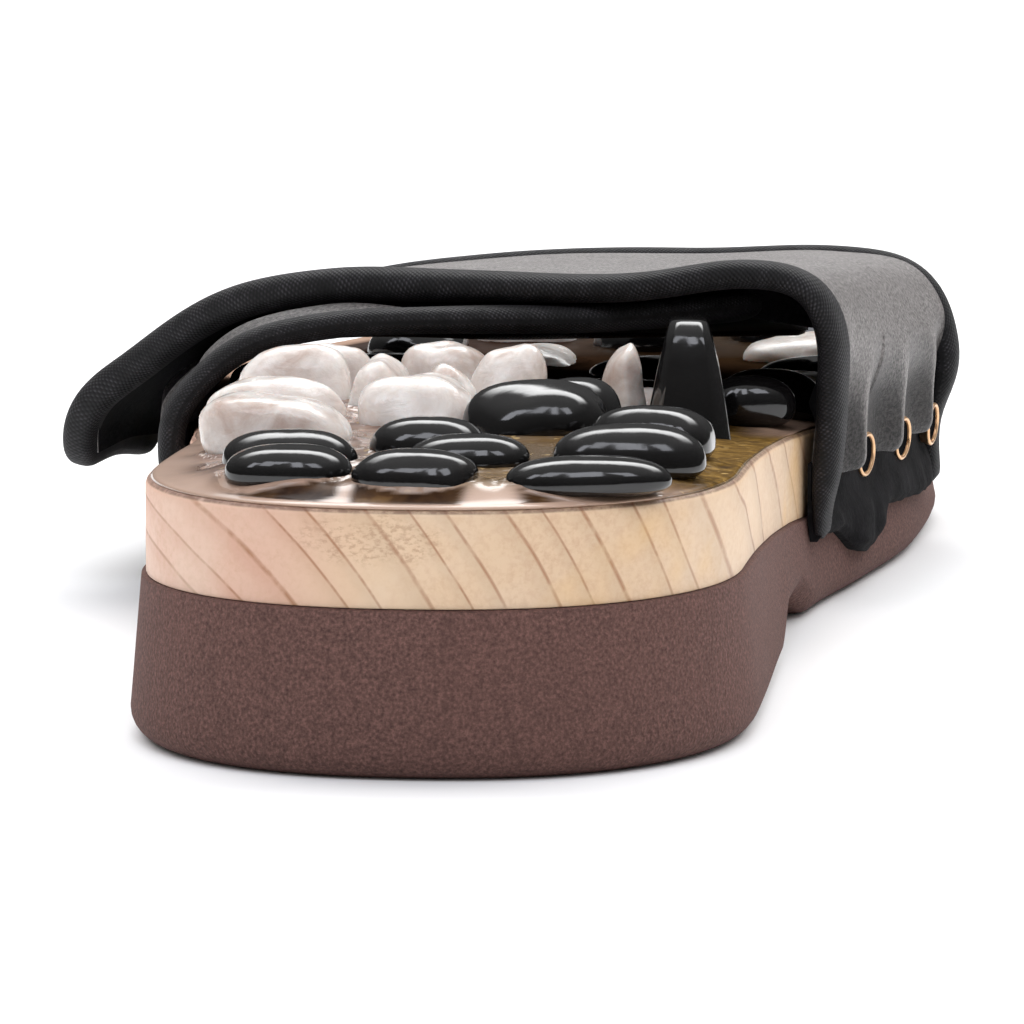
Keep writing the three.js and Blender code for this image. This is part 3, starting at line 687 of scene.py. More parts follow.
def leather_sheet(wall, end_inset, rows=240, columns=170):
    """The leather of a strap between its bindings. Its lower edge hangs in a finger between two tacks.

    Returns its points and faces, which faces are outer, inner or rim, and the shade painted on its folds
    and the highlight painted on its crests.
    """
    upper = bpy.context.scene.sandal_upper
    half, depth = upper.leather / MM / 2, upper.pleat / MM
    length = wall.length.mean()
    across = np.linspace(0, 1, rows)
    hem_rear, hem_front = wall.place[0, 0], wall.place[-1, 0]
    y_hem, z_hem = (hem_rear[c] + (hem_front[c] - hem_rear[c]) * across for c in (1, 2))
    first, pitch = TACKS[wall.side]
    steps = (y_hem - first) / pitch
    from_tack = np.abs(steps - np.round(steps)) * pitch
    notch = LEATHER_NOTCH * (1 - smoothstep(from_tack, *LEATHER_FADE["notch"]))
    low = LEATHER_EDGE + notch + 0.25 * np.sin(y_hem * 0.7) - z_hem
    start, end = (low / length)[:, None], 1 - end_inset / length
    f = start + (end - start) * np.linspace(0, 1, columns)[None, :] ** 1.2
    inset = UNDER_BINDING / np.maximum(wall.width_at(f), 1)
    v = inset + (1 - 2 * inset) * np.repeat(across[:, None], columns, 1)
    place, out = wall.at(v, f)
    x, y, z = place[..., 0], place[..., 1], place[..., 2]
    from_edge = np.minimum(v, 1 - v) * wall.width_at(f)
    by_hem = 1 - smoothstep(f * length, *LEATHER_FADE["hem"])
    swell, painted_shade, painted_highlight = pleats(wall.side, place, depth)
    swell = swell * by_hem + soft_waves(place, WAVES) * smoothstep(z, *LEATHER_FADE["waves"])
    painted_shade = painted_shade * by_hem
    if wall.side == "lateral":
        behind = 1 - smoothstep(v * wall.width_at(f), *LEATHER_FADE["behind"])
        beside = 1 - smoothstep(x, *LEATHER_FADE["beside"])
        puffed = behind * smoothstep(z, *LEATHER_FADE["raised"]) * beside
        swell += PUFF * puffed
        # Painted shade on the puff, under the flap's edge.
        painted_shade = np.maximum(painted_shade, PUFF_SHADE * puffed)
    swell *= smoothstep(from_edge, *LEATHER_FADE["bound"])
    deepest = -LINING[0] - LINING[1] * smoothstep(z - board_top(y), *LEATHER_FADE["over board"])
    inside = np.minimum(np.maximum(swell - half, deepest), half + swell - THINNEST_LEATHER)
    outer, inner = place + out * (half + swell)[..., None], place + out * inside[..., None]
    # The painted shade and painted highlight fade out towards the bound edges.
    unbound = smoothstep(from_edge, *LEATHER_FADE["shade"])
    masks = [np.tile((mask * unbound).ravel(), 2) for mask in (painted_shade, painted_highlight * by_hem)]
    return *close_sheet(outer, inner, wall.side == "lateral"), *masks


def edge_roll(wall, ends, steps=260, end_steps=60):
    """Bindings of a strap: a folded tape along its rear and its front edge, in one round a bound free end."""
    upper = bpy.context.scene.sandal_upper
    f_end = 1 - ((END_TAPE - TAPE_OVERLAP) if ends else 0.0) / wall.length.mean()
    f = np.linspace(TAPE_START, f_end, steps)
    girth = f * wall.length.mean()
    rear_width = REAR_TAPE[0] + REAR_TAPE[1] * smoothstep(girth, *TAPE_FADE["rear"])
    if ends:
        begins, full = TAPE_FADE["end"]
        near_end = smoothstep(girth, girth[-1] - begins, girth[-1] - full)
        rear_width = rear_width + (END_TAPE - rear_width) * near_end
    front_width = FRONT_TAPE[0] + FRONT_TAPE[1] * (1 - smoothstep(girth, *TAPE_FADE["front"]))
    width = np.maximum(wall.width_at(f), LEAST_WIDTH)
    v_rear, v_front = (rear_width - TAPE_OVERLAP) / width, 1 - (front_width - TAPE_OVERLAP) / width
    rear, front = upper.rear_roll / MM, upper.front_roll / MM
    if not ends:
        return [
            roll_along(wall, v_rear, f, rear_width, rear, rear),
            roll_along(wall, v_front, f, front_width, front, front),
        ]
    across = np.linspace(v_rear[-1], v_front[-1], end_steps + 2)[1:-1]
    v_all = np.concatenate([v_rear, across, v_front[::-1]])
    f_all = np.concatenate([f, np.full(end_steps, f_end), f[::-1]])
    w_all = np.concatenate([rear_width, np.full(end_steps, END_TAPE), front_width[::-1]])
    return [roll_along(wall, v_all, f_all, w_all, rear, front)]


def roll_along(wall, v, f, half_width, rear, front):
    """One tape along shares v, f of a wall. Its thickness goes from a rear one to a front one."""
    place, out = wall.at(v, f)
    frontness = smoothstep(v, *TAPE_FADE["across"])
    half = (rear + (front - rear) * frontness) / 2
    if wall.side == "medial":
        crossing = 1 - smoothstep(place[:, 0], *TAPE_FADE["crossing"])
        half = half * (1 + THICKER * crossing * (1 - frontness))
    by_rear, by_front = (1 - smoothstep(place[:, 2], *TAPE_FADE[hem]) for hem in ("rear hem", "front hem"))
    half = half * (1 - np.where(v < 0.5, THINNER[0] * by_rear, THINNER[1] * by_front) * (f < 0.5))
    beside = 1 - smoothstep(place[:, 2] - board_top(place[:, 1]), *TAPE_FADE["over board"])
    place = place + out * (beside * (half - TAPE_INSIDE))[:, None]
    run = lengths_along(place)
    at = np.arange(0, run[-1], TAPE_STEP)
    place, out = points_along(place, run, at), points_along(out, run, at)
    half, half_width = np.interp(at, run, half), np.interp(at, run, half_width)
    for _ in range(SMOOTHINGS):
        for line in (place, out, half_width):
            line[1:-1] = (line[:-2] + 2 * line[1:-1] + line[2:]) / 4
    wobble = np.array([noise.noise(Vector((s / WOBBLE_LENGTH, wall.length[0], 0.5))) for s in at])
    return sweep(place, out, half * (1 + WOBBLE[0] * wobble), half_width * (1 - WOBBLE[1] * wobble))


# Finishes


class Nodes:
    """A node tree and short ways to add to it."""

    def __init__(self, tree):
        self.tree = tree

    def link(self, value, socket):
        """Joins another node's output to a socket, or sets the socket's own value."""
        if isinstance(value, bpy.types.NodeSocket):
            self.tree.links.new(value, socket)
        else:
            socket.default_value = value

    def add(self, kind, inputs=None, **settings):
        node = self.tree.nodes.new(kind)
        for key, value in settings.items():
            setattr(node, key, value)
        for key, value in (inputs or {}).items():
            self.link(value, node.inputs[key])
        return node

    def math(self, operation, a, b=0.0):
        return self.add("ShaderNodeMath", {0: a, 1: b}, operation=operation).outputs[0]

    def plus(self, a, b):
        return self.math("ADD", a, b)

    def times(self, a, b):
        return self.math("MULTIPLY", a, b)

    def scaled(self, source, factor, shift):
        return self.plus(self.times(source, factor), shift)

    def ramp(self, factor, stops, smooth=False):
        node = self.add("ShaderNodeValToRGB", {"Fac": factor})
        node.color_ramp.interpolation = "EASE" if smooth else "LINEAR"
        marks = node.color_ramp.elements
        while len(marks) < len(stops):
            marks.new(0.5)
        for mark, (spot, value) in zip(marks, stops):
            mark.position = spot
            mark.color = (value, value, value, 1) if isinstance(value, (int, float)) else (*value, 1)
        return node.outputs["Color"]

    def split(self, source):
        return self.add("ShaderNodeSeparateXYZ", {0: source}).outputs


class Finish(Nodes):
    """A material and short ways to add its nodes."""

    def __init__(self, name, **sockets):
        self.material = bpy.data.materials.new(name)
        self.material.use_nodes = True
        super().__init__(self.material.node_tree)
        self.shader = self.tree.nodes["Principled BSDF"]
        for key, value in sockets.items():
            self.set(key.replace("_", " "), value)
        self.place = self.add("ShaderNodeTexCoord").outputs["Object"]

    def set(self, socket, value):
        self.link(value, self.shader.inputs[socket])

    def stretched(self, x, y, z):
        return self.add("ShaderNodeMapping", {"Vector": self.place, "Scale": (x, y, z)}).outputs[0]

    def noise(self, scale, detail=2.0, roughness=0.5, distortion=0.0, place=None):
        inputs = {"Scale": scale, "Detail": detail, "Roughness": roughness, "Distortion": distortion}
        return self.add("ShaderNodeTexNoise", {"Vector": place or self.place, **inputs}).outputs["Fac"]

    def cells(self, scale, output="Distance"):
        return self.add("ShaderNodeTexVoronoi", {"Vector": self.place, "Scale": scale}).outputs[output]

    def mix(self, factor, a, b, blend="MIX"):
        node = self.add("ShaderNodeMix", {0: factor}, data_type="RGBA", blend_type=blend)
        for key, colour in ((6, a), (7, b)):
            self.link(colour if isinstance(colour, bpy.types.NodeSocket) else (*colour, 1), node.inputs[key])
        return node.outputs[2]

    def value(self, name):
        return self.add("ShaderNodeAttribute", attribute_name=name).outputs["Fac"]

    def bump(self, *layers):
        """Bumps laid on each other, each a height, a strength and a depth in metres."""
        normal = None
        for height, strength, depth in layers:
            inputs = {"Height": height, "Strength": strength, "Distance": depth}
            if normal is not None:
                inputs["Normal"] = normal
            normal = self.add("ShaderNodeBump", inputs).outputs["Normal"]
        self.set("Normal", normal)
        return normal


def shade(colour, factor):
    """A lighter or darker tone of a colour."""
    return tuple(min(1.0, c * factor) for c in colour)


def tones(colour, *stops):
    """Stops of a ramp in tones of one colour, each a place and a factor."""
    return [(spot, shade(colour, factor)) for spot, factor in stops]


def foam_finish():
    """Matt crumbly foam with soft clouds and faint upright streaks."""
    colour = bpy.context.scene.sandal_sole.foam_colour
    foam = Finish("brown_foam", Specular_IOR_Level=0.28)
    grain = foam.noise(2700, 3, 0.66)
    crumb = foam.cells(2000)
    cloud = foam.noise(34, 4, 0.6)
    streak = foam.noise(1.0, 3, 0.6, place=foam.stretched(190, 190, 14))
    speckle = foam.ramp(grain, tones(colour, (0.30, 0.50), (0.5, 1), (0.70, 1.75)))
    worn = foam.mix(foam.ramp(cloud, [(0.36, 0.0), (0.72, 0.20)]), speckle, shade(colour, 1.35))
    marks = foam.mix(foam.ramp(streak, [(0.60, 0.0), (0.78, 0.28)]), worn, shade(colour, 0.55))
    foam.set("Base Color", marks)
    foam.set("Roughness", foam.ramp(cloud, [(0.3, 0.82), (0.7, 0.93)]))
    foam.bump((grain, 0.40, 0.0003), (crumb, 0.30, 0.0003), (streak, 0.16, 0.0006))
    return foam.material


def growth_rings(wood, x, y, z):
    """How far each place lies from one growth ring to the next, about a slanting axis below the small toe."""
    drift = wood.times(wood.math("SUBTRACT", wood.noise(30, 2, 0.5), 0.5), 0.0035)
    sway = wood.times(wood.plus(y, 0.040), 0.20)
    across = wood.plus(wood.plus(wood.plus(x, 0.0555), drift), sway)
    up = wood.plus(z, 0.0180)
    squares = [wood.times(reach, reach) for reach in (across, up)]
    turns = wood.times(wood.math("SQRT", wood.plus(*squares)), 262.0)
    uneven = wood.times(wood.math("SINE", wood.times(turns, 2.3)), 0.15)
    return wood.math("FRACT", wood.plus(turns, uneven))


def torn_patch(wood, x, y, z):
    """A ragged oval of torn fibres at the back of the heel."""
    squares = []
    for place, middle, half in ((x, -0.0025, 0.0085), (z, 0.0243, 0.0030)):
        reach = wood.math("DIVIDE", wood.math("SUBTRACT", place, middle), half)
        squares.append(wood.times(reach, reach))
    unrest = wood.times(wood.math("SUBTRACT", wood.noise(330, 3, 0.6), 0.5), 2.4)
    ragged = wood.plus(wood.plus(*squares), unrest)
    torn = wood.times(wood.ramp(ragged, [(0.35, 1.0), (0.95, 0.0)]), wood.math("LESS_THAN", y, -0.030))
    fibres = wood.noise(1.0, 3, 0.7, place=wood.stretched(1500, 1500, 2600))
    return wood.times(torn, wood.ramp(fibres, [(0.46, 0.0), (0.62, 0.42)]))


def wood_finish():
    """Growth rings about a slanting axis, thin dark late wood, fine fibres, pores and a stained top edge."""
    colour = tuple(bpy.context.scene.sandal_sole.wood_colour)
    wood = Finish("pale_pine", Specular_IOR_Level=0.35, Coat_Weight=0.08, Coat_Roughness=0.3)
    x, y, z = wood.split(wood.place)
    ring = growth_rings(wood, x, y, z)
    pink = wood.ramp(wood.scaled(x, 22, 0.64), [(0.28, 1.0), (0.62, 0.0)], smooth=True)
    early = wood.mix(pink, colour, (0.63, 0.405, 0.305))
    late = wood.mix(pink, shade(colour, 0.88), (0.565, 0.335, 0.245))
    tone = wood.mix(wood.ramp(ring, [(0.40, 0.0), (0.95, 1.0)], smooth=True), early, late)
    line = wood.ramp(ring, [(0.0, 0.6), (0.03, 0.0), (0.905, 0.0), (0.96, 0.90), (1.0, 0.6)])
    broken = wood.ramp(wood.noise(420, 3, 0.7), [(0.34, 0.35), (0.52, 1.0)])
    lined = wood.mix(wood.times(line, broken), tone, (0.33, 0.15, 0.07))
    fibre = wood.noise(1.0, 4, 0.66, place=wood.stretched(1500, 900, 1500))
    sanded = wood.ramp(wood.noise(36, 3, 0.6), [(0.40, 0.06), (0.66, 0.50)])
    pores = wood.times(wood.ramp(fibre, [(0.44, 0.0), (0.66, 1.0)]), sanded)
    grained = wood.mix(pores, lined, (0.50, 0.30, 0.19))
    cloudy = wood.ramp(wood.noise(55, 4, 0.65), [(0.50, 0.0), (0.75, 0.34)])
    pale = wood.mix(cloudy, grained, (0.76, 0.64, 0.52))
    medial = wood.ramp(wood.scaled(x, 20, 0.5), [(0.42, 0.0), (0.66, 1.0)])
    amber = wood.times(wood.ramp(wood.noise(48, 3, 0.6), [(0.54, 0.0), (0.70, 0.55)]), medial)
    tinted = wood.mix(amber, pale, (0.70, 0.43, 0.15))
    marked = wood.mix(torn_patch(wood, x, y, z), tinted, (0.30, 0.155, 0.085))
    rim = wood.ramp(wood.value("below_top"), [(0.0, 0.12), (0.012, 0.80), (0.030, 0.75), (0.045, 0.0)])
    stain = wood.times(rim, wood.ramp(wood.noise(700, 3, 0.7), [(0.34, 0.55), (0.54, 1.0)]))
    wood.set("Base Color", wood.mix(stain, marked, (0.105, 0.040, 0.022)))
    wood.set("Roughness", wood.ramp(fibre, [(0.3, 0.46), (0.7, 0.62)]))
    wood.bump((fibre, 0.16, 0.0004), (line, -0.08, 0.0003))
    return wood.material


def resin_finish():
    """Clear resin over a stain: brown streaks by the small toe, gold by the arch, a pale rim that is
    lightened as a painted reflection, painted shade and a duller coat under the straps, and painted shadow
    pools before the first stones.
    """
    colour = tuple(bpy.context.scene.sandal_sole.stain_colour)
    resin = Finish("clear_resin_over_stain", Roughness=0.4, Coat_Roughness=0.04, Coat_IOR=1.45)
    x, y, _ = resin.split(resin.place)
    rim, painted_shadow_pool, gilt = (resin.value(name) for name in ("rim", "painted_shadow_pool", "gold"))
    stain = resin.ramp(resin.noise(46, 4, 0.6), tones(colour, (0.30, 0.45), (0.52, 1), (0.75, 1.7)))
    lateral = resin.ramp(resin.scaled(x, 24, 0.5), [(0.15, 1.0), (0.62, 0.0)], smooth=True)
    streak = resin.noise(1.0, 3, 0.6, place=resin.stretched(60, 300, 300))
    streaks = [(0.35, (0.08, 0.032, 0.018)), (0.55, (0.22, 0.115, 0.075)), (0.72, (0.42, 0.27, 0.19))]
    toned = resin.mix(lateral, stain, resin.ramp(streak, streaks))
    # Painted shade: deep darkens the resin to nearly black from under the straps to the toe.
    painted_shade_under_straps = [(0.20, 0.0), (0.38, 0.95), (0.72, 0.95), (0.90, 0.90)]
    deep = resin.ramp(resin.times(y, 5.0), painted_shade_under_straps, smooth=True)
    shadowed = resin.mix(deep, toned, (0.012, 0.006, 0.004))
    golds = [(0.34, (0.050, 0.024, 0.004)), (0.52, (0.135, 0.073, 0.013)), (0.70, (0.29, 0.172, 0.040))]
    gilded = resin.mix(gilt, shadowed, resin.ramp(resin.noise(520, 4, 0.68), golds))
    # Painted glints of golden flecks, left out where the shade is painted.
    glint = resin.ramp(resin.cells(1700, output="Color"), [(0.84, 0.0), (0.95, 0.7)])
    glint = resin.times(glint, resin.ramp(deep, [(0.0, 1.0), (0.6, 0.0)]))
    flecked = resin.mix(glint, gilded, (0.56, 0.38, 0.14))
    # The pale rim: pale wood under the clear resin, lightened further as a painted reflection of the white
    # backdrop.
    pale = resin.times(rim, resin.ramp(resin.noise(130, 3), [(0.25, 0.75), (0.6, 1.0)]))
    edged = resin.mix(pale, flecked, (0.40, 0.265, 0.195))
    # Painted shadow: dark browns in the pools before the first stones.
    browns = [(0.35, (0.020, 0.008, 0.004)), (0.60, (0.060, 0.028, 0.010)), (0.75, (0.15, 0.080, 0.028))]
    resin.set("Base Color", resin.mix(painted_shadow_pool, edged, resin.ramp(resin.noise(210, 3, 0.6), browns)))
    dull = deep
    for mask, amount in ((rim, 0.40), (painted_shadow_pool, 0.88), (gilt, 0.88)):
        dull = resin.math("MAXIMUM", dull, resin.times(mask, amount))
    resin.set("Coat Weight", resin.ramp(dull, [(0.0, 1.0), (0.75, 0.25), (0.92, 0.0)]))
    resin.set("Specular IOR Level", resin.ramp(dull, [(0.0, 0.4), (0.75, 0.1), (0.92, 0.0)]))
    skirt = resin.math("EXPONENT", resin.times(resin.value("gap"), -14.0))
    resin.set("Coat Normal", resin.bump((skirt, 0.9, 0.0007), (resin.noise(110, 2), 0.06, 0.0008)))
    return resin.material


def black_stone_finish():
    """Polished black with faint brown clouds."""
    colour = bpy.context.scene.sandal_stones.black_colour
    stone = Finish("polished_black_stone", IOR=1.56)
    clouds = [*tones(colour, (0.35, 1), (0.62, 1.6)), (0.82, (0.016, 0.012, 0.010))]
    stone.set("Base Color", stone.ramp(stone.noise(110, 4, 0.6, 0.4), clouds))
    stone.set("Roughness", stone.ramp(stone.noise(260, 3), [(0.35, 0.07), (0.70, 0.15)]))
    stone.bump((stone.noise(170, 2), 0.15, 0.0008), (stone.noise(520, 3), 0.08, 0.0003))
    return stone.material


def white_stone_finish():
    """Milky quartz that light enters, with thin seams."""
    colour = tuple(bpy.context.scene.sandal_stones.white_colour)
    stone = Finish("milky_quartz", IOR=1.54, Subsurface_Weight=0.5, Subsurface_Scale=0.004)
    stone.set("Subsurface Radius", (1.0, 0.72, 0.58))
    cloud = stone.noise(150, 5, 0.62, 0.8)
    ripple = stone.noise(1.0, 4, 0.62, 1.2, place=stone.stretched(260, 260, 520))
    body = stone.ramp(cloud, [(0.28, (0.46, 0.36, 0.31)), (0.48, colour), (0.70, (0.78, 0.75, 0.72))])
    seam = stone.ramp(ripple, [(0.47, 0.0), (0.50, 0.14), (0.53, 0.0)])
    stone.set("Base Color", stone.mix(seam, body, (0.46, 0.33, 0.26)))
    stone.set("Roughness", stone.ramp(stone.noise(300, 3), [(0.3, 0.12), (0.7, 0.30)]))
    stone.bump((ripple, 0.16, 0.0010), (stone.noise(900, 3), 0.12, 0.0003))
    return stone.material


def leather_finish():
    """Fine pebbled grain: salt and pepper at half a millimetre, with soft cloudy wear, painted shade on the
    folds and a painted highlight on each crest.
    """
    colour = tuple(bpy.context.scene.sandal_upper.leather_colour)
    leather = Finish("grey_pebbled_leather", Specular_IOR_Level=0.45)
    grain = leather.noise(2300, 3, 0.60)
    fine = leather.noise(6000, 2, 0.6)
    cloud = leather.noise(60, 3, 0.55)
    pebble = leather.ramp(grain, tones(colour, (0.35, 0.28), (0.48, 0.95), (0.63, 1.85)))
    worn = leather.mix(leather.ramp(cloud, [(0.40, 0.0), (0.72, 0.30)]), pebble, shade(colour, 1.2))
    # Painted shade darkens the flanks of the folds and the puff; a painted highlight lightens each crest.
    painted_shade = leather.ramp(leather.value("painted_shade"), [(0.10, 0.0), (0.80, 0.95)])
    painted_highlight = leather.ramp(leather.value("painted_highlight"), [(0.30, 0.0), (1.0, 0.45)])
    shadowed = leather.mix(painted_shade, worn, (0.13, 0.125, 0.125), "MULTIPLY")
    leather.set("Base Color", leather.mix(painted_highlight, shadowed, shade(colour, 2.1)))
    leather.set("Roughness", leather.ramp(cloud, [(0.3, 0.44), (0.7, 0.56)]))
    leather.bump((cloud, 0.08, 0.002), (grain, 0.65, 0.0004), (fine, 0.15, 0.0002))
    return leather.material


def binding_finish():
    """A fine twill: slanting ribs, each broken into stitches."""
    colour = tuple(bpy.context.scene.sandal_upper.cloth_colour)
    cloth = Finish("black_woven_binding", Roughness=0.66, Specular_IOR_Level=0.3)
    u, v, _ = cloth.split(cloth.add("ShaderNodeUVMap", uv_map="weave").outputs[0])
    slant = cloth.plus(cloth.times(u, 9800.0), cloth.times(v, 9800.0))
    broken = cloth.math("SUBTRACT", cloth.times(u, 13800.0), cloth.times(v, 4700.0))
    rib = cloth.times(cloth.math("SINE", slant), 0.27)
    stitch = cloth.times(cloth.math("SINE", broken), 0.20)
    height = cloth.plus(cloth.plus(rib, stitch), 0.5)
    worn = cloth.ramp(cloth.noise(420, 3, 0.6), [(0.30, 0.45), (0.65, 1.0)])
    threads = tones(colour, (0.20, 0.4), (0.50, 0.9), (0.90, 5.0))
    cloth.set("Base Color", cloth.ramp(cloth.times(height, worn), threads))
    cloth.bump((height, 0.7, 0.00013), (cloth.noise(300, 2), 0.2, 0.0004))
    return cloth.material


def cloth_finish(name, nap_scale, nap_depth, lift=1.0):
    """Napped black cloth. lift makes it lighter or darker."""
    colour = shade(bpy.context.scene.sandal_upper.cloth_colour, lift)
    cloth = Finish(name, Roughness=0.9, Specular_IOR_Level=0.12)
    nap = cloth.noise(nap_scale, 3, 0.65)
    cloud = cloth.noise(120, 3, 0.6)
    tone = cloth.ramp(nap, tones(colour, (0.30, 0.5), (0.55, 1), (0.80, 2.4)))
    cloth.set("Base Color", cloth.mix(cloth.ramp(cloud, [(0.4, 0.0), (0.75, 0.5)]), tone, shade(colour, 1.9)))
    cloth.bump((cloud, 0.3, 0.0010), (nap, 0.5, nap_depth))
    return cloth.material


def brass_finish():
    """Bright brass with light tarnish."""
    colour = tuple(bpy.context.scene.sandal_upper.brass_colour)
    brass = Finish("brass_ring", Metallic=1.0)
    tarnish = brass.ramp(brass.noise(600, 3, 0.6), tones(colour, (0.35, 1), (0.65, 0.9), (0.85, 0.55)))
    brass.set("Base Color", tarnish)
    brass.set("Roughness", brass.ramp(brass.noise(1400, 2), [(0.3, 0.26), (0.7, 0.40)]))
    brass.bump((brass.noise(1800, 2), 0.08, 0.0001))
    return brass.material


def floor_finish():
    """Plain pale floor."""
    colour = bpy.context.scene.sandal_stage.floor_colour
    return Finish("pale_floor", Roughness=0.6, Specular_IOR_Level=0.2, Base_Color=(*colour, 1)).material


# Stones


def stone_frame(node):
    """A packed stone in millimetres behind the heel: its base's centre, three axes, half sizes and height."""
    points = np.unique(np.round(node_points(node), 4), axis=0)
    lowest = min(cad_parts[node].data.polygons, key=lambda face: face.normal.z)
    up = -np.array(lowest.normal)
    height = points @ up
    tall = height.max() - height.min()
    middle = points[np.abs(height - height.min() - 0.4 * tall) < 0.02 * tall + 0.05]
    centre = middle.mean(0)
    axes = np.linalg.eigh(np.cov((middle - centre).T, bias=True))[1]
    long_axis = unit(axes[:, 2] - up * (axes[:, 2] @ up))
    short_axis = np.cross(up, long_axis)
    base = centre - up * (centre @ up - height.min())
    halves = [np.abs((points - base) @ axis).max() for axis in (long_axis, short_axis)]
    return base, long_axis, short_axis, up, *halves, tall


def lumpy_radius(d, chance, seed):
    """A stone with soft flats broken from it, as a radius in each direction d."""
    flats = chance.normal(size=(13, 3))
    flats[:, 2] = np.abs(flats[:, 2]) * 1.2
    depth, power = chance.uniform(0.74, 1.0, 13), 11
    pull = np.sum(np.maximum(d @ unit(flats).T / depth, 0) ** power, axis=1) + 0.6
    radius = pull ** (-1 / power) * np.sum(np.abs(d) ** 2.7, axis=1) ** (-1 / 2.7)
    return radius * (1 + 0.03 * np.array([noise.noise(Vector(p * 2.6) + Vector((seed, 0, 0))) for p in d]))


def smooth_radius(d, chance):
    """A water-worn stone, as a radius in each direction d."""
    bend = chance.normal(size=(3, 3)) * 0.9
    radius = 1 + 0.035 * np.sum(np.sin(d @ bend.T * 1.6 + chance.uniform(0, 6, 3)), axis=1)
    return np.minimum(radius, 1.05) * np.sum(np.abs(d) ** 2.5, axis=1) ** (-1 / 2.5)


def pebble_mesh(node, seed, lumpy, around=56, rows=28):
    """A pebble in the place of a packed one: milky ones are lumpy, black ones smooth and widest low down."""
    base, long_axis, short_axis, up, half_long, half_short, tall = stone_frame(node)
    chance = np.random.default_rng(seed)
    polar = np.linspace(0, np.pi, rows + 1)[1:-1]
    turn = 2 * np.pi * np.arange(around) / around
    ways = [(np.sin(polar), np.cos(turn)), (np.sin(polar), np.sin(turn)), (np.cos(polar), np.ones(around))]
    d = np.stack([np.outer(down, round_way) for down, round_way in ways], -1).reshape(-1, 3)
    d = np.vstack([d, [[0, 0, 1], [0, 0, -1]]])
    shape = d * (lumpy_radius(d, chance, seed) if lumpy else smooth_radius(d, chance))[:, None]
    shape[:, :2] /= np.abs(shape[:, :2]).max(0)
    shape[:, 2] /= shape[:, 2].max()
    level = WIDEST_AT[lumpy] * tall
    z = np.where(shape[:, 2] > 0, shape[:, 2] * (tall - level), np.maximum(shape[:, 2], -1) * level)
    points = base + np.outer(shape[:, 0] * half_long, long_axis)
    points = points + np.outer(shape[:, 1] * half_short, short_axis) + np.outer(z + level, up)
    return points, tube_faces(rows - 1, around, flipped=True)


# Resin


def resin_plan(columns=110, batch=2000):
    """The resin seen from above, as rows of points between two tips.

    Returns the points, how far each lies from the rim, how many rows there are and how long each one is.
    """
    stations = sole_stations(*RESIN_STEPS)
    last = len(stations) - 1
    even = np.linspace(0, 1, columns + 1)
    t = SIDE_EASE * ((1 - np.cos(np.pi * even)) / 2) + (1 - SIDE_EASE) * even
    outline, out = sole_outline(stations)
    rim = outline - out * RESIN_INSET
    medial, lateral = rim[1:last], rim[-1:last:-1]
    inner = medial[:, None] + (lateral - medial)[:, None] * t[None, :, None]
    flat = np.vstack([rim[:1], inner.reshape(-1, 2), rim[last : last + 1]])
    run = np.roll(rim, -1, 0) - rim
    from_rim = np.empty(len(flat))
    for start in range(0, len(flat), batch):
        gap = flat[start : start + batch, None] - rim[None]
        share = np.clip((gap * run).sum(-1) / (run * run).sum(-1), 0, 1)
        from_rim[start : start + batch] = np.linalg.norm(gap - run * share[..., None], axis=-1).min(1)
    return flat, from_rim, last - 1, columns + 1


def resin_by_stones(flat, from_rim):
    """How far the resin climbs at each point, where painted shadow pools lie, and the gap to the nearest
    stone.
    """
    climb, painted_shadow_pool, nearest = np.zeros(len(flat)), np.zeros(len(flat)), np.full(len(flat), FARTHEST_GAP)
    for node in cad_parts:
        if not node.startswith(("pebble", "arch")):
            continue
        base, long_axis, short_axis, _, half_long, half_short, _ = stone_frame(node)
        local = flat - base[:2]
        p, q = local @ long_axis[:2], local @ short_axis[:2]
        reach = np.sqrt((p / half_long) ** 2 + (q / half_short) ** 2)
        gap = np.maximum(reach - 1, 0) * np.hypot(p, q) / np.maximum(reach, 1e-6)
        height = ARCH_CLIMB if node.startswith("arch") else STONE_CLIMB
        climb = np.maximum(climb, height * np.exp(-gap / CLIMB_WIDTH))
        nearest = np.minimum(nearest, gap)
        if base[1] < FIRST_ROW:
            before = (1 - smoothstep(np.abs(p) / half_long, *POOL_FADE["across"])) * (local[:, 1] < 0)
            before = before * smoothstep(gap, *POOL_FADE["near"]) * (1 - smoothstep(gap, *POOL_FADE["far"]))
            painted_shadow_pool = np.maximum(painted_shadow_pool, before * smoothstep(from_rim, *POOL_FADE["rim"]))
    return climb, painted_shadow_pool, nearest


def resin_body(flat, from_rim):
    """Height of the poured resin over the board, without its climb: a round lip and a slope to full depth."""
    side, back = flat[:, 0], flat[:, 1]
    lip = RESIN_LIP * np.sqrt(1 - (1 - np.clip(from_rim / LIP_WIDTH, 0, 1)) ** 2)
    slope = RESIN_SLOPE[0] + RESIN_SLOPE[1] * smoothstep(back, *RESIN_FADE["slope"])
    deep = along("pour", back) + HEEL_RISE * (1 - smoothstep(back, *RESIN_FADE["heel"]))
    body = lip + (deep - RESIN_LIP) * smoothstep(from_rim / slope, 0.03, 1)
    by_arch = smoothstep(back, *RESIN_FADE["arch"]) * (1 - smoothstep(back, *RESIN_FADE["ball"]))
    return body * (1 - ARCH_DIP * smoothstep(side, *RESIN_FADE["medial"]) * by_arch)


def resin_faces(rows, wide):
    """Faces of the resin's upper side, and of a plain underside between its two edges."""
    tip = rows * wide + 1
    faces = grid_faces(rows, wide, start=1)
    for i in range(wide - 1):
        faces.append((0, 1 + i + 1, 1 + i))
        faces.append((tip, tip - wide + i, tip - wide + i + 1))
    right, left = [1 + j * wide for j in range(rows)], [(j + 1) * wide for j in range(rows)]
    for j in range(rows - 1):
        faces.append((right[j + 1], left[j + 1], left[j], right[j]))
    faces += [(0, right[0], left[0]), (tip, left[-1], right[-1])]
    return [face[::-1] for face in faces]


# Studio


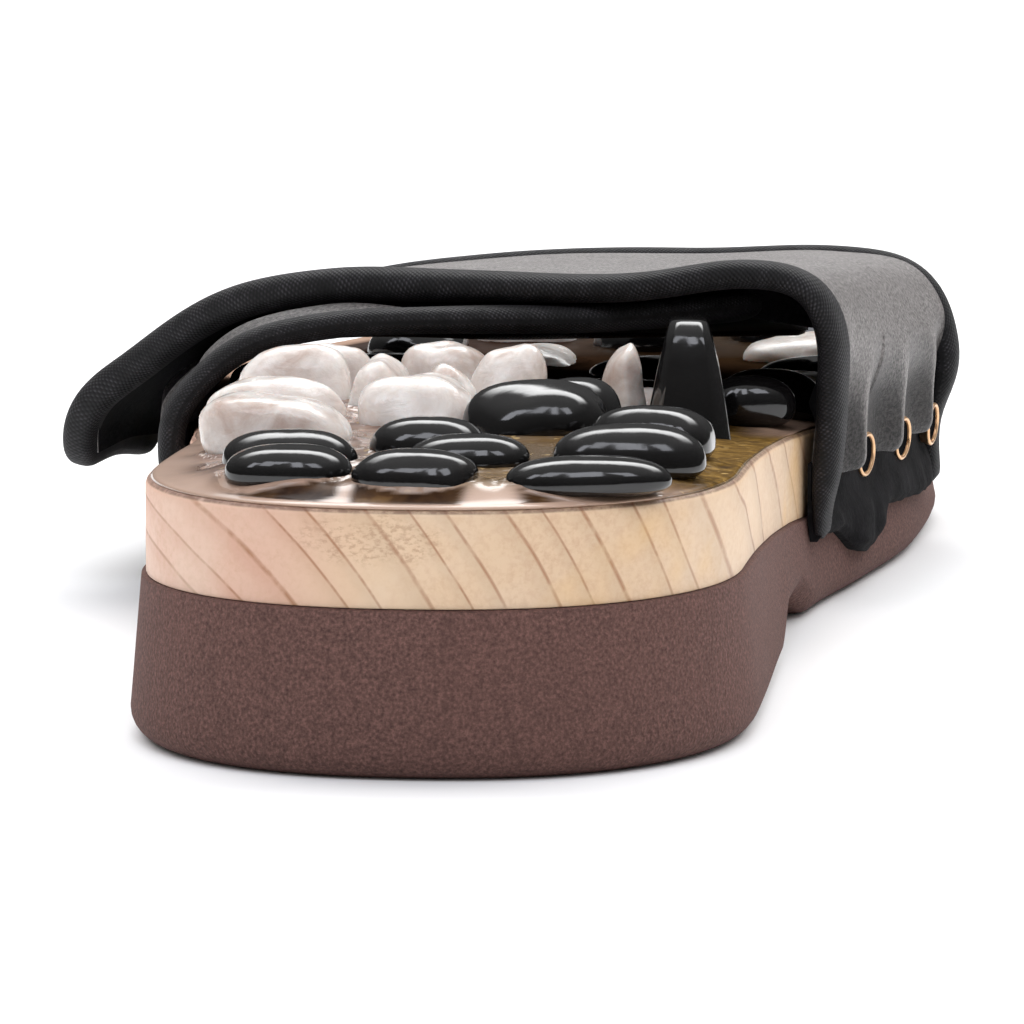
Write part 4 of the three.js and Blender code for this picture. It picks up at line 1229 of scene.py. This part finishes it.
def light_room(scene, key_strength):
    """A world with a soft light above and behind the part, dim all round, and a white backdrop."""
    world = bpy.data.worlds.new("studio_room")
    world.use_nodes = True
    room = Nodes(world.node_tree)
    rays = room.add("ShaderNodeLightPath").outputs
    x, y, z = room.split(room.add("ShaderNodeTexCoord").outputs["Generated"])

    def fade(source, *stops):
        return room.ramp(source, stops, smooth=True)

    def lit_by(light):
        return room.add("ShaderNodeBackground", {"Color": light, "Strength": key_strength}).outputs[0]

    def choose(ray, otherwise, chosen):
        return room.add("ShaderNodeMixShader", {0: rays[ray], 1: otherwise, 2: chosen}).outputs[0]

    forward = room.scaled(y, 0.5, 0.5)
    behind = fade(forward, (0.0, 0.0), (0.52, 0.0), (0.66, 1.0))
    ahead = fade(room.scaled(x, 0.5, 0.5), (0.22, 0.0), (0.40, 1.0), (0.62, 1.0), (0.80, 0.0))
    wide = fade(z, (0.46, 0.0), (0.60, 1.0), (0.82, 1.0), (0.94, 0.1))
    narrow = fade(z, (0.50, 0.0), (0.60, 1.0), (0.72, 1.0), (0.82, 0.0))
    fill = fade(forward, (0.0, 0.085), (0.5, 0.075), (1.0, 0.05))
    dim = fade(z, (0.0, 0.012), (0.45, 0.030), (1.0, 0.10))
    lit = lit_by(room.plus(room.times(wide, behind), fill))
    strip = room.times(room.times(narrow, ahead), behind)
    mirrored = lit_by(room.plus(strip, dim))
    backdrop = room.tree.nodes["Background"]
    backdrop.inputs["Color"].default_value = (1, 1, 1, 1)
    seen = choose("Is Camera Ray", choose("Is Glossy Ray", lit, mirrored), backdrop.outputs[0])
    room.link(seen, room.tree.nodes["World Output"].inputs["Surface"])
    scene.world = world
    scene.view_settings.view_transform = "Standard"


def hang_windows(scene, power):
    """A row of tall windows over the camera, which the polished stones mirror."""
    for name, place, size in WINDOWS:
        light = bpy.data.lights.new(name, "AREA")
        light.shape = "RECTANGLE"
        light.size, light.size_y = size
        light.energy = power
        light.color = WINDOW_COLOUR
        lamp = bpy.data.objects.new(name, light)
        lamp.location = place
        lamp.rotation_euler = (Vector(WINDOW_AIM) - Vector(place)).to_track_quat("-Z", "Y").to_euler()
        scene.collection.objects.link(lamp)


# Operators

SOLE_STEPS = (26, 110, 34)
SOLE_COLUMNS = 14


class BuildOutsole(bpy.types.Operator):
    """Foam block with a flared side, a round lower edge and an arch recess"""

    bl_idname = "sandal.build_outsole"
    bl_label = "Outsole"

    def execute(self, context):
        sole = context.scene.sandal_sole
        flare, radius = sole.flare / MM, sole.edge_radius / MM
        glue, shoulder = 0.06, 0.5

        def top(y):
            return along("board", y) - glue

        def side(y, share):
            return top(y) - shoulder + (along("floor", y) + radius - top(y) + shoulder) * share

        def lower_edge(y, angle):
            return along("floor", y) + radius * (1 - np.sin(angle))

        rings = [(-0.5, top), (-0.05, lambda y: top(y) - 0.15), (0.0, lambda y: top(y) - shoulder)]
        for share in (0.2, 0.4, 0.6, 0.8, 1.0):
            rings.append((flare * share, lambda y, s=share: side(y, s)))
        for angle in np.pi / 2 * np.arange(1, 7) / 6:
            rings.append((flare - radius * (1 - np.cos(angle)), lambda y, a=angle: lower_edge(y, a)))
        points, faces = sole_slab(rings, SOLE_STEPS, SOLE_COLUMNS)
        make_piece("outsole_foam", points, faces, [foam_finish()], ["outsole"], smooth_angle=40)
        return {"FINISHED"}


class BuildBoard(bpy.types.Operator):
    """Wooden board with eased edges"""

    bl_idname = "sandal.build_board"
    bl_label = "Footbed board"

    def execute(self, context):
        thick = context.scene.sandal_sole.board / MM
        inset, ease = 0.5, 0.8
        rings = []
        for in_from_edge, drop in ((1.3, 0.0), (0.95, 0.12), (0.66, 0.38), (inset, ease)):
            rings.append((-in_from_edge, lambda y, d=drop: board_top(y) - d))
        for share in (0.25, 0.5, 0.75):
            rings.append((-inset, lambda y, s=share: board_top(y) - ease - (thick - 1.2) * s))
        for in_from_edge, rise in ((inset, 0.18), (0.55, 0.05), (0.66, 0.0)):
            rings.append((-in_from_edge, lambda y, r=rise: along("board", y) + r))
        points, faces = sole_slab(rings, SOLE_STEPS, SOLE_COLUMNS)
        finishes, nodes = [wood_finish()], ["footbed_board"]
        piece = make_piece("board_wood", points, faces, finishes, nodes, smooth_angle=40)
        set_values(piece, "below_top", (board_top(points[:, 1]) - points[:, 2]) / 10)
        return {"FINISHED"}


class BuildResin(bpy.types.Operator):
    """Clear resin that rises a little against each stone and rounds over the board's edge"""

    bl_idname = "sandal.build_resin"
    bl_label = "Resin bed"

    def execute(self, context):
        clearance = 0.03
        flat, from_rim, rows, wide = resin_plan()
        climb, painted_shadow_pool, nearest = resin_by_stones(flat, from_rim)
        waves = np.array([noise.noise(Vector((*(p / RESIN_WAVE_LENGTH), 3.1))) for p in flat])
        unrest = (climb + RESIN_WAVES * waves) * smoothstep(from_rim, *RESIN_FADE["calm"])
        height = board_top(flat[:, 1]) + clearance + (resin_body(flat, from_rim) + unrest)
        points, faces = np.c_[flat, height], resin_faces(rows, wide)
        piece = make_piece("resin_clear", points, faces, [resin_finish()], ["resin_bed"])
        side, back = flat[:, 0], flat[:, 1]
        gold = smoothstep(side, *RESIN_FADE["gold side"]) * smoothstep(back, *RESIN_FADE["gold start"])
        gold = gold * (1 - smoothstep(back, *RESIN_FADE["gold end"]))
        # The pale rim, partly a painted reflection, is kept off the gold.
        set_values(piece, "rim", (1 - smoothstep(from_rim, *RESIN_FADE["rim"])) * (1 - gold))
        set_values(piece, "painted_shadow_pool", painted_shadow_pool)
        set_values(piece, "gold", gold)
        set_values(piece, "gap", nearest / FARTHEST_GAP)
        return {"FINISHED"}


class BuildPebbles(bpy.types.Operator):
    """Polished black and milky white pebbles"""

    bl_idname = "sandal.build_pebbles"
    bl_label = "Pebbles"

    def execute(self, context):
        finishes = {"black": black_stone_finish(), "white": white_stone_finish()}
        for seed, node in enumerate(sorted(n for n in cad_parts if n.startswith("pebble")), 5):
            kind = node.split("_")[1]
            points, faces = pebble_mesh(node, seed, kind == "white")
            make_piece(f"{node}_smooth", points, faces, [finishes[kind]], [node])
        return {"FINISHED"}


class BuildArchStone(bpy.types.Operator):
    """Black slab with cut corners that stands on its edge under the arch"""

    bl_idname = "sandal.build_arch_stone"
    bl_label = "Arch stone"

    def execute(self, context):
        base, long_axis, short_axis, up, _, _, tall = stone_frame("arch_stone")
        points = []
        for height, half_long, half_thick in ARCH_LAYERS:
            corner = [(half_long, 0.66 * half_thick), (half_long - ARCH_CORNER, half_thick)]
            plan = [*corner, *[(-p, q) for p, q in corner[::-1]]]
            plan = np.array([*plan, *[(-p, -q) for p, q in plan]])
            before, after = (unit(np.roll(plan, step, 0) - plan) * ARCH_EASE for step in (1, -1))
            ring = np.stack([plan + before, plan + 0.22 * (before + after), plan + after], 1).reshape(-1, 2)
            layer = base + np.outer(ring[:, 0], long_axis) + np.outer(ring[:, 1], short_axis)
            points.append(layer + up * height * tall)
        faces = tube_faces(len(points), len(points[0]))
        points = np.vstack([*points, [base], [base + up * tall]])
        finishes, nodes = [black_stone_finish()], ["arch_stone"]
        make_piece("arch_stone_polished", points, faces, finishes, nodes, smooth_angle=34)
        return {"FINISHED"}


class BuildLeather(bpy.types.Operator):
    """Leather of the flap and of the lateral strap, lined with cloth"""

    bl_idname = "sandal.build_leather"
    bl_label = "Strap leather"

    def execute(self, context):
        finishes = [leather_finish(), cloth_finish("black_lining", 1500, 0.0002)]
        covered_from = {"medial": np.inf, "lateral": -7}
        straps = (("flap_leather", FLAP, "medial", 2.0), ("strap_leather", STRAP, "lateral", 0.5))
        for name, girth, side, end_inset in straps:
            points, faces, kinds, painted_shade, painted_highlight = leather_sheet(Wall(girth, side), end_inset)
            covered = points[[face[0] for face in faces], 0] > covered_from[side]
            lined = (np.array(kinds) == 1) | covered
            piece = make_piece(
                name, points, faces, finishes, ["upper"], face_finish=lined, smooth_angle=60
            )
            # Masks of the painted shade and the painted highlight on the leather.
            set_values(piece, "painted_shade", painted_shade)
            set_values(piece, "painted_highlight", painted_highlight)
        return {"FINISHED"}


class BuildBindings(bpy.types.Operator):
    """Woven rolls round the edges of both straps"""

    bl_idname = "sandal.build_bindings"
    bl_label = "Bindings"

    def execute(self, context):
        finish = binding_finish()
        straps = (("flap_binding", FLAP, "medial", True), ("strap_binding", STRAP, "lateral", False))
        for name, girth, side, ends in straps:
            for part, (points, faces, uv) in zip(("rear", "front"), edge_roll(Wall(girth, side), ends)):
                piece = make_piece(f"{name}_{part}", points, faces, [finish], ["upper"])
                set_uv(piece, uv)
        return {"FINISHED"}


class BuildHems(bpy.types.Operator):
    """Gathered cloth trim that hangs below each hem"""

    bl_idname = "sandal.build_hems"
    bl_label = "Hem trim"

    def execute(self, context):
        finish = cloth_finish("black_hem_cloth", 1500, 0.0003, 0.75)
        columns, end_gap, blur = 30, 0.6, 9
        for side, line in TRIM_EDGE.items():
            y = np.linspace(line[0][0] + end_gap, line[-1][0] - end_gap, 170)
            low = np.interp(y, *np.array(line, float).T)
            low = np.convolve(np.pad(low, blur // 2, mode="edge"), np.ones(blur) / blur, mode="valid")
            low += np.array([0.2 * noise.noise(Vector((v / 3.4, 0.3, 1.7))) for v in y])
            share = np.linspace(0, 1, columns)
            z = low[:, None] + (TRIM_TOP - low[:, None]) * share[None, :]
            y = np.repeat(y[:, None], columns, 1)
            x = edge(side, y)
            wrinkle = []
            for a, b in zip(y.ravel(), z.ravel()):
                coarse, fine = (noise.noise(Vector(p)) for p in ((a / 7, b / 9, 0.2), (a / 3.4, b / 4, 5)))
                wrinkle.append(coarse + 0.35 * fine)
            wrinkle = np.array(wrinkle).reshape(y.shape)
            hang = 1 - smoothstep(z, *TRIM_HANGS)
            inside = TRIM_GAP + flare_at(y, z)
            bulge = TRIM_BULGE + TRIM_WRINKLE * (wrinkle + 0.5)
            thick = TRIM_WALL + hang * bulge + 0.08 * wrinkle
            thick = thick * (0.55 + 0.45 * smoothstep(share, 0, 0.10))[None, :]
            outer = np.stack([x + np.sign(x) * (inside + thick), y, z], -1)
            inner = np.stack([x + np.sign(x) * inside, y, z], -1)
            points, faces, _ = close_sheet(outer, inner, side == "lateral")
            make_piece(f"hem_trim_{side}", points, faces, [finish], ["upper"], smooth_angle=60)
        return {"FINISHED"}


class BuildClosure(bpy.types.Operator):
    """Hook and loop pad between the flap and the strap"""

    bl_idname = "sandal.build_closure"
    bl_label = "Closure"

    def execute(self, context):
        v = np.linspace(0, 1, 50)
        rows = np.array([row_points(row, "medial", v) for row in CLOSURE])
        middle = smooth_through(rows, 24).transpose(1, 0, 2)
        lift = np.array([0, 0, HALF_CLOSURE])
        points, faces, _ = close_sheet(middle + lift, middle - lift, False)
        finishes = [cloth_finish("hook_and_loop", 2300, 0.0006)]
        make_piece("closure_pad", points, faces, finishes, ["upper"], smooth_angle=50)
        return {"FINISHED"}


class BuildTacks(bpy.types.Operator):
    """Brass ring tacks with a dark middle, painted darker than the lining as the shade in the ring's hollow
    """

    bl_idname = "sandal.build_tacks"
    bl_label = "Tacks"

    def execute(self, context):
        # The middle is dark cloth, made darker than the lining as painted shade in the ring's hollow.
        finishes = [brass_finish(), cloth_finish("tack_middle_painted_shade", 1500, 0.0002, 0.7)]
        around, middle_depth, wire_height = 36, 0.08, 0.55
        bends = np.linspace(-0.7, np.pi + 0.35, 12)
        wire = [(RING_RADIUS + RING_WIRE * np.cos(a), wire_height + RING_WIRE * np.sin(a)) for a in bends]
        middle = [(1.95, 0.1), (1.4, -0.05), (0.7, -middle_depth)]
        profile = [(2.5, -0.5), *wire, *middle]
        turn = 2 * np.pi * np.arange(around) / around
        for node in sorted(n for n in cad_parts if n.startswith("tack")):
            points = node_points(node)
            centre = (points.min(0) + points.max(0)) / 2
            sign = 1 if centre[0] > 0 else -1
            side = "medial" if centre[0] > 0 else "lateral"
            axis = np.linalg.eigh(np.cov((points - points.mean(0)).T))[1][:, 0]
            axis = unit(axis * np.sign(axis[0]) * sign + [0, RING_TILT, 0])
            base = centre + axis * ((points - centre) @ axis).min() + [0, 0, RING_RISE]
            first, pitch = TACKS[side]
            forward, out = RINGS[int(round((centre[1] - first) / pitch))]
            base[1] += forward
            base[0] = (np.abs(edge(side, base[1])) + out) * sign
            across = unit(np.cross(axis, [0, 0, 1.0]))
            up = np.cross(across, axis)
            circle = np.outer(np.cos(turn), across) + np.outer(np.sin(turn), up)
            rings = [base + axis * height + circle * radius for radius, height in profile]
            count = len(rings) * around
            faces = grid_faces(len(rings), around, closed=True) + fan_faces(count, count - around, around)
            dark = [face[0] >= count - (len(middle) + 1) * around for face in faces]
            vertices = np.vstack([*rings, [base - axis * middle_depth]])
            make_piece(f"{node}_ring", vertices, faces, finishes, [node], face_finish=dark)
        return {"FINISHED"}


class BuildStage(bpy.types.Operator):
    """Pale floor, soft studio light and the camera"""

    bl_idname = "sandal.build_stage"
    bl_label = "Stage"

    def execute(self, context):
        stage = context.scene.sandal_stage
        far = 6
        mesh = bpy.data.meshes.new("studio_floor")
        corners = [(-far, -far, 0), (far, -far, 0), (far, far, 0), (-far, far, 0)]
        mesh.from_pydata(corners, [], [(0, 1, 2, 3)])
        mesh.materials.append(floor_finish())
        floor = bpy.data.objects.new("studio_floor", mesh)
        context.scene.collection.objects.link(floor)

        light_room(context.scene, stage.key_strength)
        hang_windows(context.scene, stage.window_power)

        camera = bpy.data.cameras.new("studio_camera")
        camera.lens = stage.lens
        camera.sensor_width = 36
        camera.clip_start, camera.clip_end = 0.02, 40
        eye = bpy.data.objects.new("studio_camera", camera)
        eye.location = stage.camera_place
        eye.rotation_euler = Vector(stage.camera_aim).to_track_quat("-Z", "Y").to_euler()
        context.scene.collection.objects.link(eye)
        context.scene.camera = eye
        return {"FINISHED"}


PIECES = (
    BuildOutsole, BuildBoard, BuildResin, BuildPebbles, BuildArchStone, BuildLeather, BuildBindings,
    BuildHems, BuildClosure, BuildTacks, BuildStage,
)
GROUPS = {
    "sandal_sole": SandalSole,
    "sandal_upper": SandalUpper,
    "sandal_stones": SandalStones,
    "sandal_stage": SandalStage,
}


class SandalPanel(bpy.types.Panel):
    """Builds the sandal piece by piece"""

    bl_idname = "VIEW3D_PT_sandal"
    bl_label = "Massage Sandal"
    bl_space_type = "VIEW_3D"
    bl_region_type = "UI"
    bl_category = "Sandal"

    def draw(self, context):
        for group in GROUPS:
            box = self.layout.box()
            settings = getattr(context.scene, group)
            for name in settings.__annotations__:
                box.prop(settings, name)
        for piece in PIECES:
            self.layout.operator(piece.bl_idname)


def register():
    for group in GROUPS.values():
        bpy.utils.register_class(group)
    for piece in (*PIECES, SandalPanel):
        bpy.utils.register_class(piece)
    for name, group in GROUPS.items():
        setattr(bpy.types.Scene, name, bpy.props.PointerProperty(type=group))


def unregister():
    for name in GROUPS:
        delattr(bpy.types.Scene, name)
    for made in (SandalPanel, *PIECES[::-1], *GROUPS.values()):
        bpy.utils.unregister_class(made)


def main():
    register()
    for piece in PIECES:
        group, name = piece.bl_idname.split(".")
        getattr(getattr(bpy.ops, group), name)()


if __name__ == "__main__":
    main()
